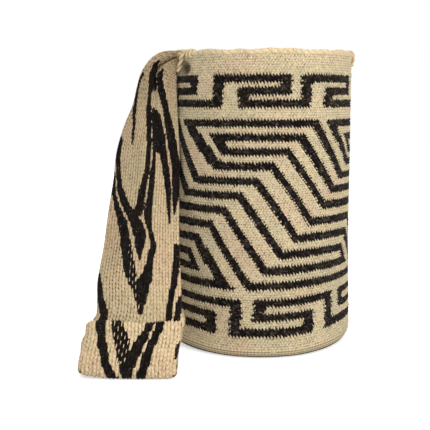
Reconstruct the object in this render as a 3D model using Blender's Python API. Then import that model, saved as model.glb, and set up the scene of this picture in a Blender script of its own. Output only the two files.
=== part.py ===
"""A tall crocheted wool shoulder bag with one wide woven strap.

The bag stands upright. Its strap is sewn to both sides of the mouth. It hangs down beside the
bag on the left, and its end is folded forward and up into a fat cuff that stands on the floor.
Units are metres. +Z is up, -Y is the front, and the origin is the middle of the base.
"""

import math
from collections import namedtuple

import bmesh
import bpy
from mathutils import Vector

# Bag body
BAG_HEIGHT = 0.300
RIM_RADIUS = 0.0908
WAIST_RADIUS = 0.0926
BASE_RADIUS = 0.0985
WALL = 0.004
BASE_EDGE = 0.010
LEAN = 0.0057
SIDE_LIFT = 0.005
SIDE_LIFT_FADE = 0.10

# Finishing chain round the mouth
RIM_CORD = 0.0044

# Shoulder strap
STRAP_WIDTH = 0.0885
STRAP_THICKNESS = 0.004
LAYER_GAP = 0.0015
CUFF_HEIGHT = 0.0523
CUFF_FRONT = 0.161
CUFF_LEAN = 0.0078
STRAP_OFFSET = 0.0326

# Seams
SEAM_YARN = 0.0018
SEAM_CORD = 0.0040
SEAM_CORD_SWING = 9.2
LEFT_SEAM_ANGLE = -75.7
LEFT_SEAM_HEIGHT = 0.018
RIGHT_SEAM_ANGLE = 90.0
RIGHT_SEAM_WIDTH = 0.036
STITCH_LEG = 0.013

# Gap kept between neighbouring pieces
CLEARANCE = 0.0003

# Crocheted pattern: stitch rows are counted up from the base
ROWS_IN_HEIGHT = 125
BAR_ROWS = 3
LEVEL_ROWS = 6
TOP_LEVEL_ROW = 97
LEVEL_COUNT = 12
HEAD_LEVELS = 4
SLANT = 450.0
BAND_ANGLE = 6.5
CORNER_ANGLE = 32.6
CORNER_STEP = 9.4
HEAD_STEP = 22.0
TAIL_STEP = 10.0

# Each place where the slanted bands cross: its angle, and the reach of the motif to either side
CROSSINGS = [
    (-104.0, -31.5, 60.2),
    (0.0, -61.8, 66.8),
    (107.0, -65.8, 30.7),
    (181.5, -31.5, 30.7),
]

# Stepped borders: the left end of each repeat, the reach of its hook, the gap before the next
# repeat, the edges of its three lines in rows, and the row and direction they are counted from
Border = namedtuple("Border", "starts hook gap lines first_row direction")
UPPER_BORDER = Border((-81.0, -18.5, 37.0, 98.0, 158.0, 218.5), 32.5, 9.8,
                      (0, 3, 4.5, 7.5, 9.5, 12.5), 114.5, -1)
LOWER_BORDER = Border((-66.0, -6.0, 54.5, 115.0, 174.0, 234.0), 38.0, 6.8,
                      (0, 3, 6, 9, 12, 15), 9.0, 1)
BORDER_BAR = 7.0

# Mesh density
WALL_SEGMENTS = 64
INNER_RINGS = 5
EDGE_STEPS = 3
STRAP_CELLS = 10
STRAP_STEP = 0.018
YARN_SIDES = 2

# Edges of the strap's hanging front half: (out, forward, rise) of the left and the right edge,
# then how far both edges curl back, and the depth of the lengthwise pleat near the seam
FRONT_HANG = [
    ((0.0085, 0.0235, 1.008), (-0.0001, 0.0235, 0.929), 0.0, 0.002),
    ((0.0166, 0.0245, 1.001), (-0.0001, 0.0242, 0.919), 0.001, 0.003),
    ((0.0249, 0.0255, 0.981), (-0.0001, 0.0252, 0.907), 0.001, 0.004),
    ((0.0319, 0.0265, 0.948), (-0.0001, 0.0268, 0.889), 0.002, 0.005),
    ((0.0369, 0.0280, 0.913), (-0.0001, 0.0295, 0.863), 0.002, 0.005),
    ((0.0409, 0.0290, 0.859), (-0.0003, 0.0315, 0.826), 0.003, 0.005),
    ((0.0449, 0.0320, 0.794), (-0.0008, 0.0335, 0.786), 0.004, 0.004),
    ((0.0517, 0.0380, 0.725), (-0.0017, 0.0380, 0.725), 0.005, 0.003),
    ((0.0605, 0.0480, 0.604), (-0.0034, 0.0480, 0.604), 0.006, 0.002),
    ((0.0628, 0.0580, 0.503), (-0.0037, 0.0580, 0.503), 0.006, 0.001),
    ((0.0664, 0.0730, 0.380), (-0.0037, 0.0730, 0.380), 0.006, 0.0),
    ((0.0692, 0.0890, 0.257), (-0.0044, 0.0890, 0.257), 0.005, 0.0),
    ((0.0728, 0.1140, 0.119), (-0.0069, 0.1140, 0.119), 0.004, 0.0),
    ((0.0728, 0.1310, 0.015), (-0.0089, 0.1310, 0.015), 0.002, 0.0),
]

# Edges of the strap's rear half, from the cuff up to the rim
REAR_HANG = [
    ((0.0724, 0.1205, 0.015), (-0.0076, 0.1205, 0.015), -0.001),
    ((0.0714, 0.1025, 0.119), (-0.0056, 0.1025, 0.119), -0.003),
    ((0.0672, 0.0765, 0.257), (-0.0028, 0.0765, 0.257), -0.004),
    ((0.0644, 0.0585, 0.380), (-0.0016, 0.0585, 0.380), -0.004),
    ((0.0609, 0.0415, 0.503), (-0.0011, 0.0415, 0.503), -0.004),
    ((0.0604, 0.0260, 0.620), (0.0029, 0.0220, 0.620), -0.003),
    ((0.0482, 0.0156, 0.750), (0.0039, -0.0016, 0.750), -0.002),
    ((0.0385, 0.0082, 0.847), (0.0037, -0.0182, 0.847), -0.001),
    ((0.0269, 0.0006, 0.931), (0.0009, -0.0334, 0.931), -0.001),
    ((0.0149, -0.0083, 0.985), (-0.0031, -0.0457, 0.985), 0.0),
]

# Where the strap crosses the left rim, and its sag across the mouth: place in shares of the rim's
# radius, drop below the rim, width, and the angle that the band is turned by
CROSSING_ANGLE = -109.0
CROSSING_WIDTH = 0.042
MOUTH_SAG = [
    (-0.780, 0.268, 0.0028, 0.044, 19.0),
    (-0.669, 0.231, 0.009, 0.050, 19.0),
    (-0.481, 0.171, 0.022, 0.060, 16.0),
    (-0.195, 0.094, 0.036, 0.070, 10.0),
    (0.135, 0.039, 0.043, 0.072, 4.0),
    (0.466, 0.011, 0.0435, 0.066, 0.0),
    (0.708, 0.000, 0.0375, 0.055, 0.0),
    (0.862, 0.000, 0.027, 0.043, 0.0),
]

# Chevrons woven into the strap
CHEVRON_PITCH = 0.18
CHEVRON_RISE = 0.11
CHEVRON_DARK = 0.06

ROW = BAG_HEIGHT / ROWS_IN_HEIGHT
WALL_TOP = BAG_HEIGHT - RIM_CORD - CLEARANCE
HALF_STRAP = STRAP_THICKNESS / 2
LAYER_PITCH = STRAP_THICKNESS + LAYER_GAP
LEFT_LIMB = LEAN - RIM_RADIUS


def smooth_step(low, high, value):
    """Go from 0 to 1 with no kink while value goes from low to high."""
    share = min(max((value - low) / (high - low), 0.0), 1.0)
    return share * share * (3 - 2 * share)


def wrapped(angle):
    """Bring an angle in degrees into the range -180 to 180."""
    return (angle + 180.0) % 360.0 - 180.0


def bag_radius(height):
    """Outer radius of the wall: widest at the base, slimmest just under the rim."""
    reach = 2 * height / BAG_HEIGHT - 1
    taper = (RIM_RADIUS - BASE_RADIUS) / 2
    bow = (RIM_RADIUS + BASE_RADIUS) / 2 - WAIST_RADIUS
    return WAIST_RADIUS + taper * reach + bow * reach * reach


def side_lift(angle):
    """How far the soft edge of the base rises at the bag's two sides."""
    return SIDE_LIFT * smooth_step(15.0, 65.0, abs(wrapped(angle)))


def wall_point(angle, height, out=0.0):
    """A point on the wall, or out from it; angle 0 faces the front and grows to the right."""
    radius = bag_radius(height) + out
    turn = math.radians(angle)
    fade = 1 - smooth_step(BASE_EDGE, BASE_EDGE + SIDE_LIFT_FADE, height)
    x = LEAN * height / BAG_HEIGHT + radius * math.sin(turn)
    return Vector((x, -radius * math.cos(turn), height + side_lift(angle) * fade))


def level_top(level):
    """Height of the upper edge of one of the motif's levels."""
    return (TOP_LEVEL_ROW - LEVEL_ROWS * level) * ROW


def in_bar(level, height):
    """True where height lies on the horizontal bar of a level."""
    top = level_top(level)
    return top - BAR_ROWS * ROW <= height <= top


def slanted(left, top_level, low_level, angle, height):
    """True on a slanted band whose left side meets the top level at the angle left."""
    top = level_top(top_level)
    low = level_top(low_level) - BAR_ROWS * ROW
    start = left + SLANT * (top - height)
    return low <= height <= top and start <= angle <= start + BAND_ANGLE


def on_band(band, local, height, head, tail, following):
    """True on one band: a level bar, a slanted stretch, and a lower bar that ends or runs on."""
    low_level = band + HEAD_LEVELS
    corner = CORNER_ANGLE - CORNER_STEP * band
    side = corner + SLANT * (level_top(band) - height)
    if slanted(corner - BAND_ANGLE, band, low_level, local, height):
        return True
    if band < HEAD_LEVELS:
        next_corner = following + CORNER_ANGLE - CORNER_STEP * low_level
        bar_start = head + SLANT * (level_top(0) - height)
        bar_start += HEAD_STEP if band in (1, 2) else 0.0
        bar_end = next_corner + SLANT * (level_top(low_level) - height)
    else:
        bar_start = side - BAND_ANGLE
        bar_end = tail + SLANT * (level_top(LEVEL_COUNT - HEAD_LEVELS) - height)
        bar_end -= TAIL_STEP if band in (5, 6) else 0.0
    if in_bar(band, height) and bar_start <= local <= side:
        return True
    return in_bar(low_level, height) and side - BAND_ANGLE <= local <= bar_end


def on_motif(angle, height):
    """True on the dark bands that run level, step down to the right, and run level again."""
    for index, (middle, head, tail) in enumerate(CROSSINGS):
        local = wrapped(angle - middle)
        following = (CROSSINGS[(index + 1) % len(CROSSINGS)][0] - middle) % 360.0
        for band in range(LEVEL_COUNT - HEAD_LEVELS):
            if on_band(band, local, height, head, tail, following):
                return True
        inner_head = head + HEAD_STEP + SLANT * LEVEL_ROWS * ROW
        inner_tail = tail - TAIL_STEP - BAND_ANGLE + SLANT * LEVEL_ROWS * ROW
        hooks = [(head, 0, 3), (inner_head, 1, 2), (tail - BAND_ANGLE, 8, 11), (inner_tail, 9, 10)]
        if any(slanted(left, top, low, local, height) for left, top, low in hooks):
            return True
    return False


def on_border(border, angle, height):
    """True on a border of squared hooks that are joined in one running line."""
    row = (height / ROW - border.first_row) * border.direction
    first, first_end, inner, inner_end, last, last_end = border.lines
    if not first <= row <= last_end:
        return False
    for index, start in enumerate(border.starts):
        following = border.starts[(index + 1) % len(border.starts)]
        local = wrapped(angle - start)
        bar_end = (following - start) % 360.0 - border.gap
        if row <= first_end and -border.gap - BORDER_BAR <= local <= border.hook:
            return True
        if inner <= row <= inner_end and 0 <= local <= border.hook:
            return True
        if last <= row and 0 <= local <= bar_end:
            return True
        if inner <= row and 0 <= local <= BORDER_BAR:
            return True
        if row <= inner_end and border.hook - BORDER_BAR <= local <= border.hook:
            return True
        if bar_end - BORDER_BAR <= local <= bar_end:
            return True
    return False


def is_dark(angle, height):
    """True where the wall is crocheted in dark wool."""
    borders = (UPPER_BORDER, LOWER_BORDER)
    return on_motif(angle, height) or any(on_border(one, angle, height) for one in borders)


def material(name, color, roughness):
    """A plain matt wool material."""
    made = bpy.data.materials.new(name)
    made.use_nodes = True
    shader = made.node_tree.nodes["Principled BSDF"]
    shader.inputs["Base Color"].default_value = (*color, 1.0)
    shader.inputs["Roughness"].default_value = roughness
    shader.inputs["Metallic"].default_value = 0.0
    made.diffuse_color = (*color, 1.0)
    return made


def add_object(name, mesh, materials, collection):
    """Put a mesh into the collection under a name, shaded smooth."""
    for entry in materials:
        mesh.materials.append(entry)
    mesh.shade_smooth()
    mesh.set_sharp_from_angle(angle=math.radians(50))
    made = bpy.data.objects.new(name, mesh)
    collection.objects.link(made)
    return made


def row_edges():
    """Heights where the wall's rows of faces meet, so that each bar of the pattern is one row."""
    heights = {BASE_EDGE, WALL_TOP}
    for level in range(LEVEL_COUNT):
        heights.update((level_top(level), level_top(level) - BAR_ROWS * ROW))
    for border in (UPPER_BORDER, LOWER_BORDER):
        for line in border.lines:
            heights.add((border.first_row + border.direction * line) * ROW)
    return sorted(heights)


def join_rings(mesh, rings, pick_material=None):
    """Skin a list of rings of points with quads, one ring to the next."""
    for low, high in zip(rings, rings[1:]):
        for index in range(len(low)):
            nxt = (index + 1) % len(low)
            face = mesh.faces.new((low[index], low[nxt], high[nxt], high[index]))
            if pick_material:
                face.material_index = pick_material(face.calc_center_median())


def bag_body(materials, collection):
    """Wall and base, crocheted in one piece: open at the mouth, with a flat underside."""
    mesh = bmesh.new()
    angles = [360.0 * index / WALL_SEGMENTS for index in range(WALL_SEGMENTS)]

    def ring(place):
        return [mesh.verts.new(place(angle)) for angle in angles]

    def edge_point(angle, share, inset):
        turn = math.radians(90 * share)
        corner = wall_point(angle, 0.0, -BASE_EDGE)
        corner.z = 0.0
        outward = Vector((math.sin(math.radians(angle)), -math.cos(math.radians(angle)), 0))
        reach = BASE_EDGE - inset
        rise = side_lift(angle) * (1 - math.cos(turn))
        return corner + outward * reach * math.sin(turn) + Vector(
            (0, 0, BASE_EDGE - reach * math.cos(turn) + rise))

    outer = [ring(lambda angle, share=step / EDGE_STEPS: edge_point(angle, share, 0.0))
             for step in range(EDGE_STEPS)]
    outer += [ring(lambda angle, level=height: wall_point(angle, level)) for height in row_edges()]
    inner_heights = [BASE_EDGE + (WALL_TOP - BASE_EDGE) * step / INNER_RINGS
                     for step in range(INNER_RINGS, -1, -1)]
    inner = [ring(lambda angle, level=height: wall_point(angle, level, -WALL))
             for height in inner_heights]
    inner.append(ring(lambda angle: edge_point(angle, 0.0, WALL)))

    def wool(center):
        angle = math.degrees(math.atan2(center.x - LEAN * center.z / BAG_HEIGHT, -center.y))
        return 1 if is_dark(angle, center.z) else 0

    join_rings(mesh, outer, wool)
    join_rings(mesh, [outer[-1]] + inner)
    mesh.faces.new(list(reversed(outer[0])))
    mesh.faces.new(inner[-1])
    data = bpy.data.meshes.new("bag_body")
    mesh.to_mesh(data)
    mesh.free()
    return add_object("bag_body", data, materials, collection)


def rim_edging(materials, collection):
    """The chain of yarn that finishes the mouth, a round cord on top of the wall."""
    bpy.ops.mesh.primitive_torus_add(
        major_segments=WALL_SEGMENTS, minor_segments=6, major_radius=RIM_RADIUS - WALL / 2,
        minor_radius=RIM_CORD / 2, location=(0, 0, 0))
    made = bpy.context.object
    made.name = "rim_edging"
    made.location = (LEAN, 0, BAG_HEIGHT - RIM_CORD / 2)
    made.data.shade_smooth()
    made.data.materials.append(materials[0])
    for owner in list(made.users_collection):
        owner.objects.unlink(made)
    collection.objects.link(made)
    return made


def beside_bag(out, forward, rise):
    """A point left of the bag: rise is 0 at the cuff's top and 1 at the rim."""
    height = CUFF_HEIGHT + rise * (BAG_HEIGHT - CUFF_HEIGHT)
    return Vector((LEFT_LIMB - out, -forward, height))


def cuff_layer(layer, height):
    """Depth of a layer of the cuff, counted back from the outer one, which leans back."""
    return -CUFF_FRONT + HALF_STRAP + CUFF_LEAN * height / CUFF_HEIGHT + layer * LAYER_PITCH


def arc(center, radius, first, last, steps):
    """Points (y, z) on an arc seen from the right, angles in degrees counted from +Y to +Z."""
    points = []
    for step in range(steps + 1):
        turn = math.radians(first + (last - first) * step / steps)
        points.append((center[0] + radius * math.cos(turn), center[1] + radius * math.sin(turn)))
    return points


def front_hang():
    """Edges of the strap's front half, from its seam down to the cuff: left, right, cup, pleat."""
    seam = wall_point(LEFT_SEAM_ANGLE, BAG_HEIGHT, HALF_STRAP * 0.8 + 2 * CLEARANCE)
    upper = seam + Vector((0, 0, HALF_STRAP))
    stations = [(upper, upper - Vector((0, 0, LEFT_SEAM_HEIGHT)), 0.0, 0.0)]
    for left, right, cup, pleat in FRONT_HANG:
        stations.append((beside_bag(*left), beside_bag(*right), cup, pleat))
    return stations


def level_station(center_out, y, z):
    """A station of full width that lies straight across from left to right."""
    center = LEFT_LIMB - center_out
    left = Vector((center - STRAP_WIDTH / 2, y, z))
    right = Vector((center + STRAP_WIDTH / 2, y, z))
    return left, right, 0.0, 0.0


def cuff_stations():
    """The strap inside and around the cuff: down, forward and up, over, down, and back under."""
    turn = LAYER_PITCH / 2
    fold = STRAP_THICKNESS + LAYER_GAP + HALF_STRAP + turn
    crest = CUFF_HEIGHT - HALF_STRAP - turn
    corner = HALF_STRAP + LAYER_GAP
    back = cuff_layer(4.9, 0.0)
    back_turn = 0.006
    inner_out = STRAP_OFFSET + 0.003
    outer_out = STRAP_OFFSET + 0.0075
    path = [(inner_out - 0.002, cuff_layer(2.5, CUFF_HEIGHT), CUFF_HEIGHT * 0.84),
            (inner_out, cuff_layer(2.2, CUFF_HEIGHT / 2), CUFF_HEIGHT * 0.56),
            (inner_out, cuff_layer(2.0, fold), fold + 0.003)]
    path += [(inner_out, y, z) for y, z in arc((cuff_layer(1.5, fold), fold), turn, 0, -180, 4)]
    path += [(inner_out, cuff_layer(1, height), height) for height in (fold + 0.003, crest - 0.003)]
    path += [(inner_out, y, z) for y, z in arc((cuff_layer(0.5, crest), crest), turn, 0, 180, 4)]
    path += [(inner_out, cuff_layer(0, crest), crest - 0.003),
             (outer_out, cuff_layer(0, 0), HALF_STRAP + corner + 0.004)]
    bottom = (cuff_layer(0, 0) + corner, HALF_STRAP + corner)
    path += [(outer_out, y, z) for y, z in arc(bottom, corner, 180, 270, 3)]
    path += [(outer_out, y, HALF_STRAP) for y in (bottom[0] + 0.003, back - 0.003)]
    path += [(outer_out, y, z)
             for y, z in arc((back, HALF_STRAP + back_turn), back_turn, -90, -10, 3)]
    path += [(inner_out, cuff_layer(5.5, CUFF_HEIGHT), CUFF_HEIGHT * 0.6),
             (inner_out - 0.002, cuff_layer(5.9, CUFF_HEIGHT), CUFF_HEIGHT * 0.86)]
    return [level_station(*place) for place in path]


def rear_hang():
    """Edges of the strap's rear half, from behind the cuff up to the rim."""
    return [(beside_bag(*left), beside_bag(*right), cup, 0.0) for left, right, cup in REAR_HANG]


def mouth_stations():
    """The strap over the left rim, sagging across the mouth, and up inside the right wall."""
    stations = []
    turn = math.radians(CROSSING_ANGLE)
    half_across = Vector((math.cos(turn), math.sin(turn), 0)) * CROSSING_WIDTH / 2
    for out in (0.0005, -WALL - CROSSING_WIDTH ** 2 / (8 * RIM_RADIUS) - CLEARANCE):
        over = wall_point(CROSSING_ANGLE, BAG_HEIGHT, out)
        over.z = BAG_HEIGHT + HALF_STRAP + 2 * CLEARANCE
        stations.append((over + half_across, over - half_across, 0.0, 0.0))
    for share_x, share_y, drop, width, skew in MOUTH_SAG:
        center = Vector((LEAN + share_x * RIM_RADIUS, share_y * RIM_RADIUS, BAG_HEIGHT - drop))
        across = Vector((-math.sin(math.radians(skew)), -math.cos(math.radians(skew)), 0))
        stations.append((center + across * width / 2, center - across * width / 2, -0.001, 0.0))
    inset = -WALL - CLEARANCE - HALF_STRAP
    cup = -(RIGHT_SEAM_WIDTH / 2) ** 2 / (2 * (RIM_RADIUS - WALL))
    for drop in (0.017, 0.006):
        center = wall_point(RIGHT_SEAM_ANGLE, BAG_HEIGHT - drop, inset)
        across = Vector((0, -RIGHT_SEAM_WIDTH / 2, 0))
        stations.append((center + across, center - across, cup, 0.0))
    return stations


def between(values, chords, span, share):
    """Value part of the way along a span, on a smooth curve through all the values."""
    def tangent(index):
        if index == 0 or index == len(values) - 1:
            near = min(index, len(values) - 2)
            return (values[near + 1] - values[near]) / chords[near]
        before = chords[index - 1]
        after = chords[index]
        rate_before = (values[index] - values[index - 1]) / before
        rate_after = (values[index + 1] - values[index]) / after
        return (rate_before * after + rate_after * before) / (before + after)

    length = chords[span]
    square = share * share
    cube = square * share
    return (values[span] * (2 * cube - 3 * square + 1)
            + tangent(span) * length * (cube - 2 * square + share)
            + values[span + 1] * (3 * square - 2 * cube)
            + tangent(span + 1) * length * (cube - square))


def strap_frames():
    """Evenly spaced frames along the whole strap: center, across, outward, width, cup, pleat."""
    stations = front_hang() + cuff_stations() + rear_hang() + mouth_stations()
    lefts, rights, cups, pleats = zip(*stations)
    centers = [(left + right) / 2 for left, right in zip(lefts, rights)]
    chords = [(b - a).length for a, b in zip(centers, centers[1:])]
    tracks = (lefts, rights, cups, pleats)
    samples = []
    for span, chord in enumerate(chords):
        steps = max(1, math.ceil(chord / STRAP_STEP))
        for step in range(steps):
            samples.append([between(track, chords, span, step / steps) for track in tracks])
    samples.append([track[-1] for track in tracks])
    middles = [(left + right) / 2 for left, right, _, _ in samples]
    frames = []
    for index, (left, right, cup, pleat) in enumerate(samples):
        ahead = middles[min(index + 1, len(middles) - 1)]
        behind = middles[max(index - 1, 0)]
        along = (ahead - behind).normalized()
        across = (left - right).normalized()
        outward = across.cross(along).normalized()
        frames.append((middles[index], across, outward, (left - right).length, cup, pleat))
    return frames


def strap_is_dark(distance, across):
    """True on the chevrons that point down the strap; across runs from -1 to 1."""
    return (distance + CHEVRON_RISE * abs(across)) % CHEVRON_PITCH < CHEVRON_DARK


def strap(materials, collection):
    """One woven band: gathered at both ends, folded into the cuff, closed all round."""
    mesh = bmesh.new()
    rings = []
    distances = [0.0]
    frames = strap_frames()
    for index, (center, across, outward, width, cup, pleat) in enumerate(frames):
        if index:
            distances.append(distances[-1] + (center - frames[index - 1][0]).length)
        front = []
        back = []
        for cell in range(STRAP_CELLS + 1):
            share = 2 * cell / STRAP_CELLS - 1
            valley = pleat * math.exp(-((share - 0.1) / 0.25) ** 2)
            point = center + across * (share * width / 2) - outward * (cup * share ** 2 + valley)
            half = HALF_STRAP * (1 - 0.35 * share ** 6)
            front.append(mesh.verts.new(point + outward * half))
            back.append(mesh.verts.new(point - outward * half))
        rings.append(front + back[::-1])
    count = STRAP_CELLS + 1
    for ring, (low, high) in enumerate(zip(rings, rings[1:])):
        middle = (distances[ring] + distances[ring + 1]) / 2
        for index in range(2 * count):
            nxt = (index + 1) % (2 * count)
            face = mesh.faces.new((low[index], low[nxt], high[nxt], high[index]))
            cell = index if index < count else 2 * count - 2 - index
            share = (2 * cell + 1) / STRAP_CELLS - 1
            face.material_index = 1 if strap_is_dark(middle, share) else 0
    mesh.faces.new(rings[0][::-1])
    mesh.faces.new(rings[-1])
    bmesh.ops.recalc_face_normals(mesh, faces=mesh.faces)
    data = bpy.data.meshes.new("strap")
    mesh.to_mesh(data)
    mesh.free()
    return add_object("strap", data, materials, collection)


def yarn(name, points, diameter, materials, collection):
    """A short length of sewing yarn: a round tube through the points, with closed ends."""
    data = bpy.data.curves.new(name, "CURVE")
    data.dimensions = "3D"
    data.bevel_depth = diameter / 2
    data.bevel_resolution = YARN_SIDES
    data.use_fill_caps = True
    spline = data.splines.new("POLY")
    spline.points.add(len(points) - 1)
    for slot, point in zip(spline.points, points):
        slot.co = (*point, 1.0)
    data.materials.append(materials[0])
    made = bpy.data.objects.new(name, data)
    collection.objects.link(made)
    return made


def rim_stitch(angle, inner_cover, leg):
    """Path of a stitch that straddles the rim and whatever lies against the wall's inside."""
    reach = SEAM_YARN / 2 + CLEARANCE
    outer = max(0.0, (RIM_CORD - WALL) / 2) + reach
    inner = -WALL - inner_cover - reach
    crown = BAG_HEIGHT + reach
    corner = 0.0016
    profile = [(outer, BAG_HEIGHT - leg), (outer, crown - corner),
               (outer - corner * 0.3, crown - corner * 0.3), (outer - corner, crown),
               (inner + corner, crown), (inner + corner * 0.3, crown - corner * 0.3),
               (inner, crown - corner), (inner, BAG_HEIGHT - leg)]
    points = []
    for out, height in profile:
        point = wall_point(angle, min(height, BAG_HEIGHT), out)
        point.z = height
        points.append(point)
    return points


def seams(materials, collection):
    """Yarn that sews the strap's two ends to the bag."""
    cord_out = SEAM_CORD / 2 + (RIM_CORD - WALL) / 2 + 2 * CLEARANCE
    start = BAG_HEIGHT + HALF_STRAP - LEFT_SEAM_HEIGHT
    cord_angle = LEFT_SEAM_ANGLE + math.degrees((HALF_STRAP + SEAM_CORD / 2) / RIM_RADIUS) + 1.4
    cord = [wall_point(cord_angle + SEAM_CORD_SWING * step / 6,
                       start - 0.002 + step * LEFT_SEAM_HEIGHT / 6, cord_out)
            for step in range(7)]
    yarn("left_seam_cord", cord, SEAM_CORD, materials, collection)
    for index in range(2):
        angle = cord_angle + SEAM_CORD_SWING + 3.4 + 3.4 * index
        path = rim_stitch(angle, 0.0, STITCH_LEG * 0.7)
        yarn(f"left_stitch_{index + 1}", path, SEAM_YARN, materials, collection)
    for index in range(4):
        angle = RIGHT_SEAM_ANGLE + 4.8 * (index - 1.5)
        path = rim_stitch(angle, STRAP_THICKNESS + CLEARANCE, STITCH_LEG)
        yarn(f"right_stitch_{index + 1}", path, SEAM_YARN, materials, collection)


def main():
    """Build every piece into one collection."""
    for leftover in list(bpy.data.objects):
        bpy.data.objects.remove(leftover, do_unlink=True)
    collection = bpy.data.collections.new("mochila_bag")
    bpy.context.scene.collection.children.link(collection)
    cream = material("cream_wool", (0.66, 0.53, 0.35), 0.95)
    dark = material("dark_wool", (0.022, 0.016, 0.016), 0.95)
    edging = material("edging_wool", (0.66, 0.51, 0.27), 0.95)
    bag_body([cream, dark], collection)
    rim_edging([edging], collection)
    strap([cream, dark], collection)
    seams([edging], collection)


main()
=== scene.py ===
"""Looks of the tall crocheted wool bag: every stitch of the wall, the woven strap, the seams."""

import math

import bpy
import numpy as np
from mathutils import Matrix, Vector


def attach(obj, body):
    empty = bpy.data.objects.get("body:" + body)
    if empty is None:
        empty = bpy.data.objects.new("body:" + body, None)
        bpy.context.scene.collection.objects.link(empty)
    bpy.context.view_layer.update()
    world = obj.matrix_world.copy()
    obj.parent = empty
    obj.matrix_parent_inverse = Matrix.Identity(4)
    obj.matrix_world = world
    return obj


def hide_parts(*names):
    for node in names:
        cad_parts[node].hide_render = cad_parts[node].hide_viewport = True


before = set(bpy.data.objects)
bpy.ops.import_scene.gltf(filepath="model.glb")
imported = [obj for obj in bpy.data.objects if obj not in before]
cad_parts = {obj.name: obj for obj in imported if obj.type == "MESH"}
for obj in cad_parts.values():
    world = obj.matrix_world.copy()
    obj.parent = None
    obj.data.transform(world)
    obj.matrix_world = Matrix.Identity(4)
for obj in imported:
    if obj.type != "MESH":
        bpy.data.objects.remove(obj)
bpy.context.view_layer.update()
random = np.random.RandomState(41)

# Bag body, in metres
BAG_HEIGHT = 0.300
RIM_RADIUS = 0.0908
WAIST_RADIUS = 0.0926
BASE_RADIUS = 0.0985
WALL = 0.004
BASE_EDGE = 0.010
LEAN = 0.0057
SIDE_LIFT = 0.005
SIDE_LIFT_FADE = 0.10
SIDE_LIFT_ANGLES = (15.0, 65.0)
RIM_CORD = 0.0044

# Crochet: stitches round the wall, rows up the wall, and how the stitch columns lean
STITCHES = 180
PARTS = 4
COLUMNS = STITCHES * PARTS
COLUMN_ANGLE = 360.0 / COLUMNS
ROWS_IN_HEIGHT = 125
ROW = BAG_HEIGHT / ROWS_IN_HEIGHT
FIRST_ROW = 4
SPLIT_ROW = 60
TOP_ROW = 124
STITCH_AT, PART_AT = np.divmod(np.arange(COLUMNS), PARTS)
LEAN_PER_ROW = 1.08

# Across a stitch, from its left gap over both strands of yarn: rise of its edges, relief at its
# edges and at its middle in metres, and the painted shade in the gap between strands there
STITCH_RISE = (-1.0, -0.05, 1.0, 0.05)
EDGE_RELIEF = (-0.00080, -0.00045, -0.00050, -0.00045)
MIDDLE_RELIEF = (-0.00030, 0.00075, 0.00045, 0.00070)
EDGE_CREVICE_SHADE = (1.0, 0.95, 0.85, 0.95)
MIDDLE_CREVICE_SHADE = (0.55, 0.0, 0.22, 0.0)

# Rows that edges rise and fall by within one colour, and how much more where the colour changes,
# where dark yarn also spreads over its neighbour; and how far a shifted point leans with its row
RISE_WITHIN = 0.26
RISE_AT_CHANGE = 0.50
DARK_SPREAD = 0.16
SHIFT_LEAN = 0.45

# Random numbers that turn parts of a stitch beside a slanted edge to its neighbour's colour: the
# first part below this, the second above it, the last below it
RAGGED_FIRST = 0.40
RAGGED_SECOND = 0.45
RAGGED_LAST = 0.45

# How uneven the yarn is: shares of a rise by point and by stitch, and of a spread; and relief,
# relief by tone, places in degrees and heights in metres; how strong the painted shade in gaps may
# be; and the wall's slow waves, which are full from a height on
RISE_BY_POINT = 0.24
RISE_BY_STITCH = 0.30
SPREAD_BY_STITCH = 0.8
UNEVEN_RELIEF = 0.00007
RELIEF_BY_TONE = 0.00015
UNEVEN_ANGLE = 0.06
UNEVEN_HEIGHT = 0.00010
CREVICE_SHADE_RANGE = (0.30, 1.15)
WALL_WAVE = 0.0006
UNEVEN_FROM = 0.04

# Inside of the wall, at the crown of a stitch and at its gap: rise, relief and painted shade
INSIDE_RISE = 0.35
INSIDE_RELIEF = (-0.00040, 0.00025)
INSIDE_CREVICE_SHADE = (0.15, 0.9)
UNEVEN_RELIEF_INSIDE = 0.00006

# Hollow that the lashing pulls into the wall: its middle and reach, its depth, and the painted
# shadow in it
HOLLOW_ANGLE = -66.0
HOLLOW_ANGLE_REACH = 8.6
HOLLOW_HEIGHT = 0.2835
HOLLOW_HEIGHT_REACH = 0.0076
HOLLOW_DEPTH = 0.0046
HOLLOW_SHADE = 1.10

# Rows from one plain ring behind the stitches to the next, closer together above a row
SKIN_STRIDE = 12
FINE_SKIN_STRIDE = 4
FINE_SKIN_ROW = 108

# Uneven pull of the yarn: the angles between which left goes over into right, and where the back
# begins; and by height, how far rows climb on the left and on the right of the front
FRONT_ANGLES = (-22.0, 48.0)
BACK_ANGLE = 110.0
ROW_CLIMB = [
    (0.000, 0.0, 0.0), (0.026, 0.0012, 0.0030), (0.060, 0.0005, 0.0022), (0.075, 0.0008, 0.0024),
    (0.103, 0.0015, 0.0042), (0.132, 0.0027, 0.0056), (0.150, 0.0030, 0.0067),
    (0.164, 0.0027, 0.0066), (0.175, 0.0024, 0.0048), (0.190, 0.0026, 0.0034),
    (0.204, 0.0020, 0.0018), (0.219, 0.0014, 0.0004), (0.233, 0.0002, 0.0), (0.300, 0.0, 0.0),
]

# Motif: top rows of its levels, angles of its corners and hooks, in degrees
TOP_LEVEL_ROW = 97
LEVEL_ROWS = 6
BAR_ROWS = 3
LEVEL_COUNT = 12
HEAD_LEVELS = 4
BAND_ANGLE = 6.5
CORNER_ANGLE = 32.6
CORNER_STEP = 9.4
INNER_HEAD_LEAN = 1.035
INNER_HEAD_ANGLE = 7.2
TAIL_LEAN = 1.215
TAIL_ANGLE = 8.9
TAIL_STEP = 13.6
INNER_TAIL_LEAN = 1.0
INNER_TAIL_ANGLE = 6.0

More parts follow.
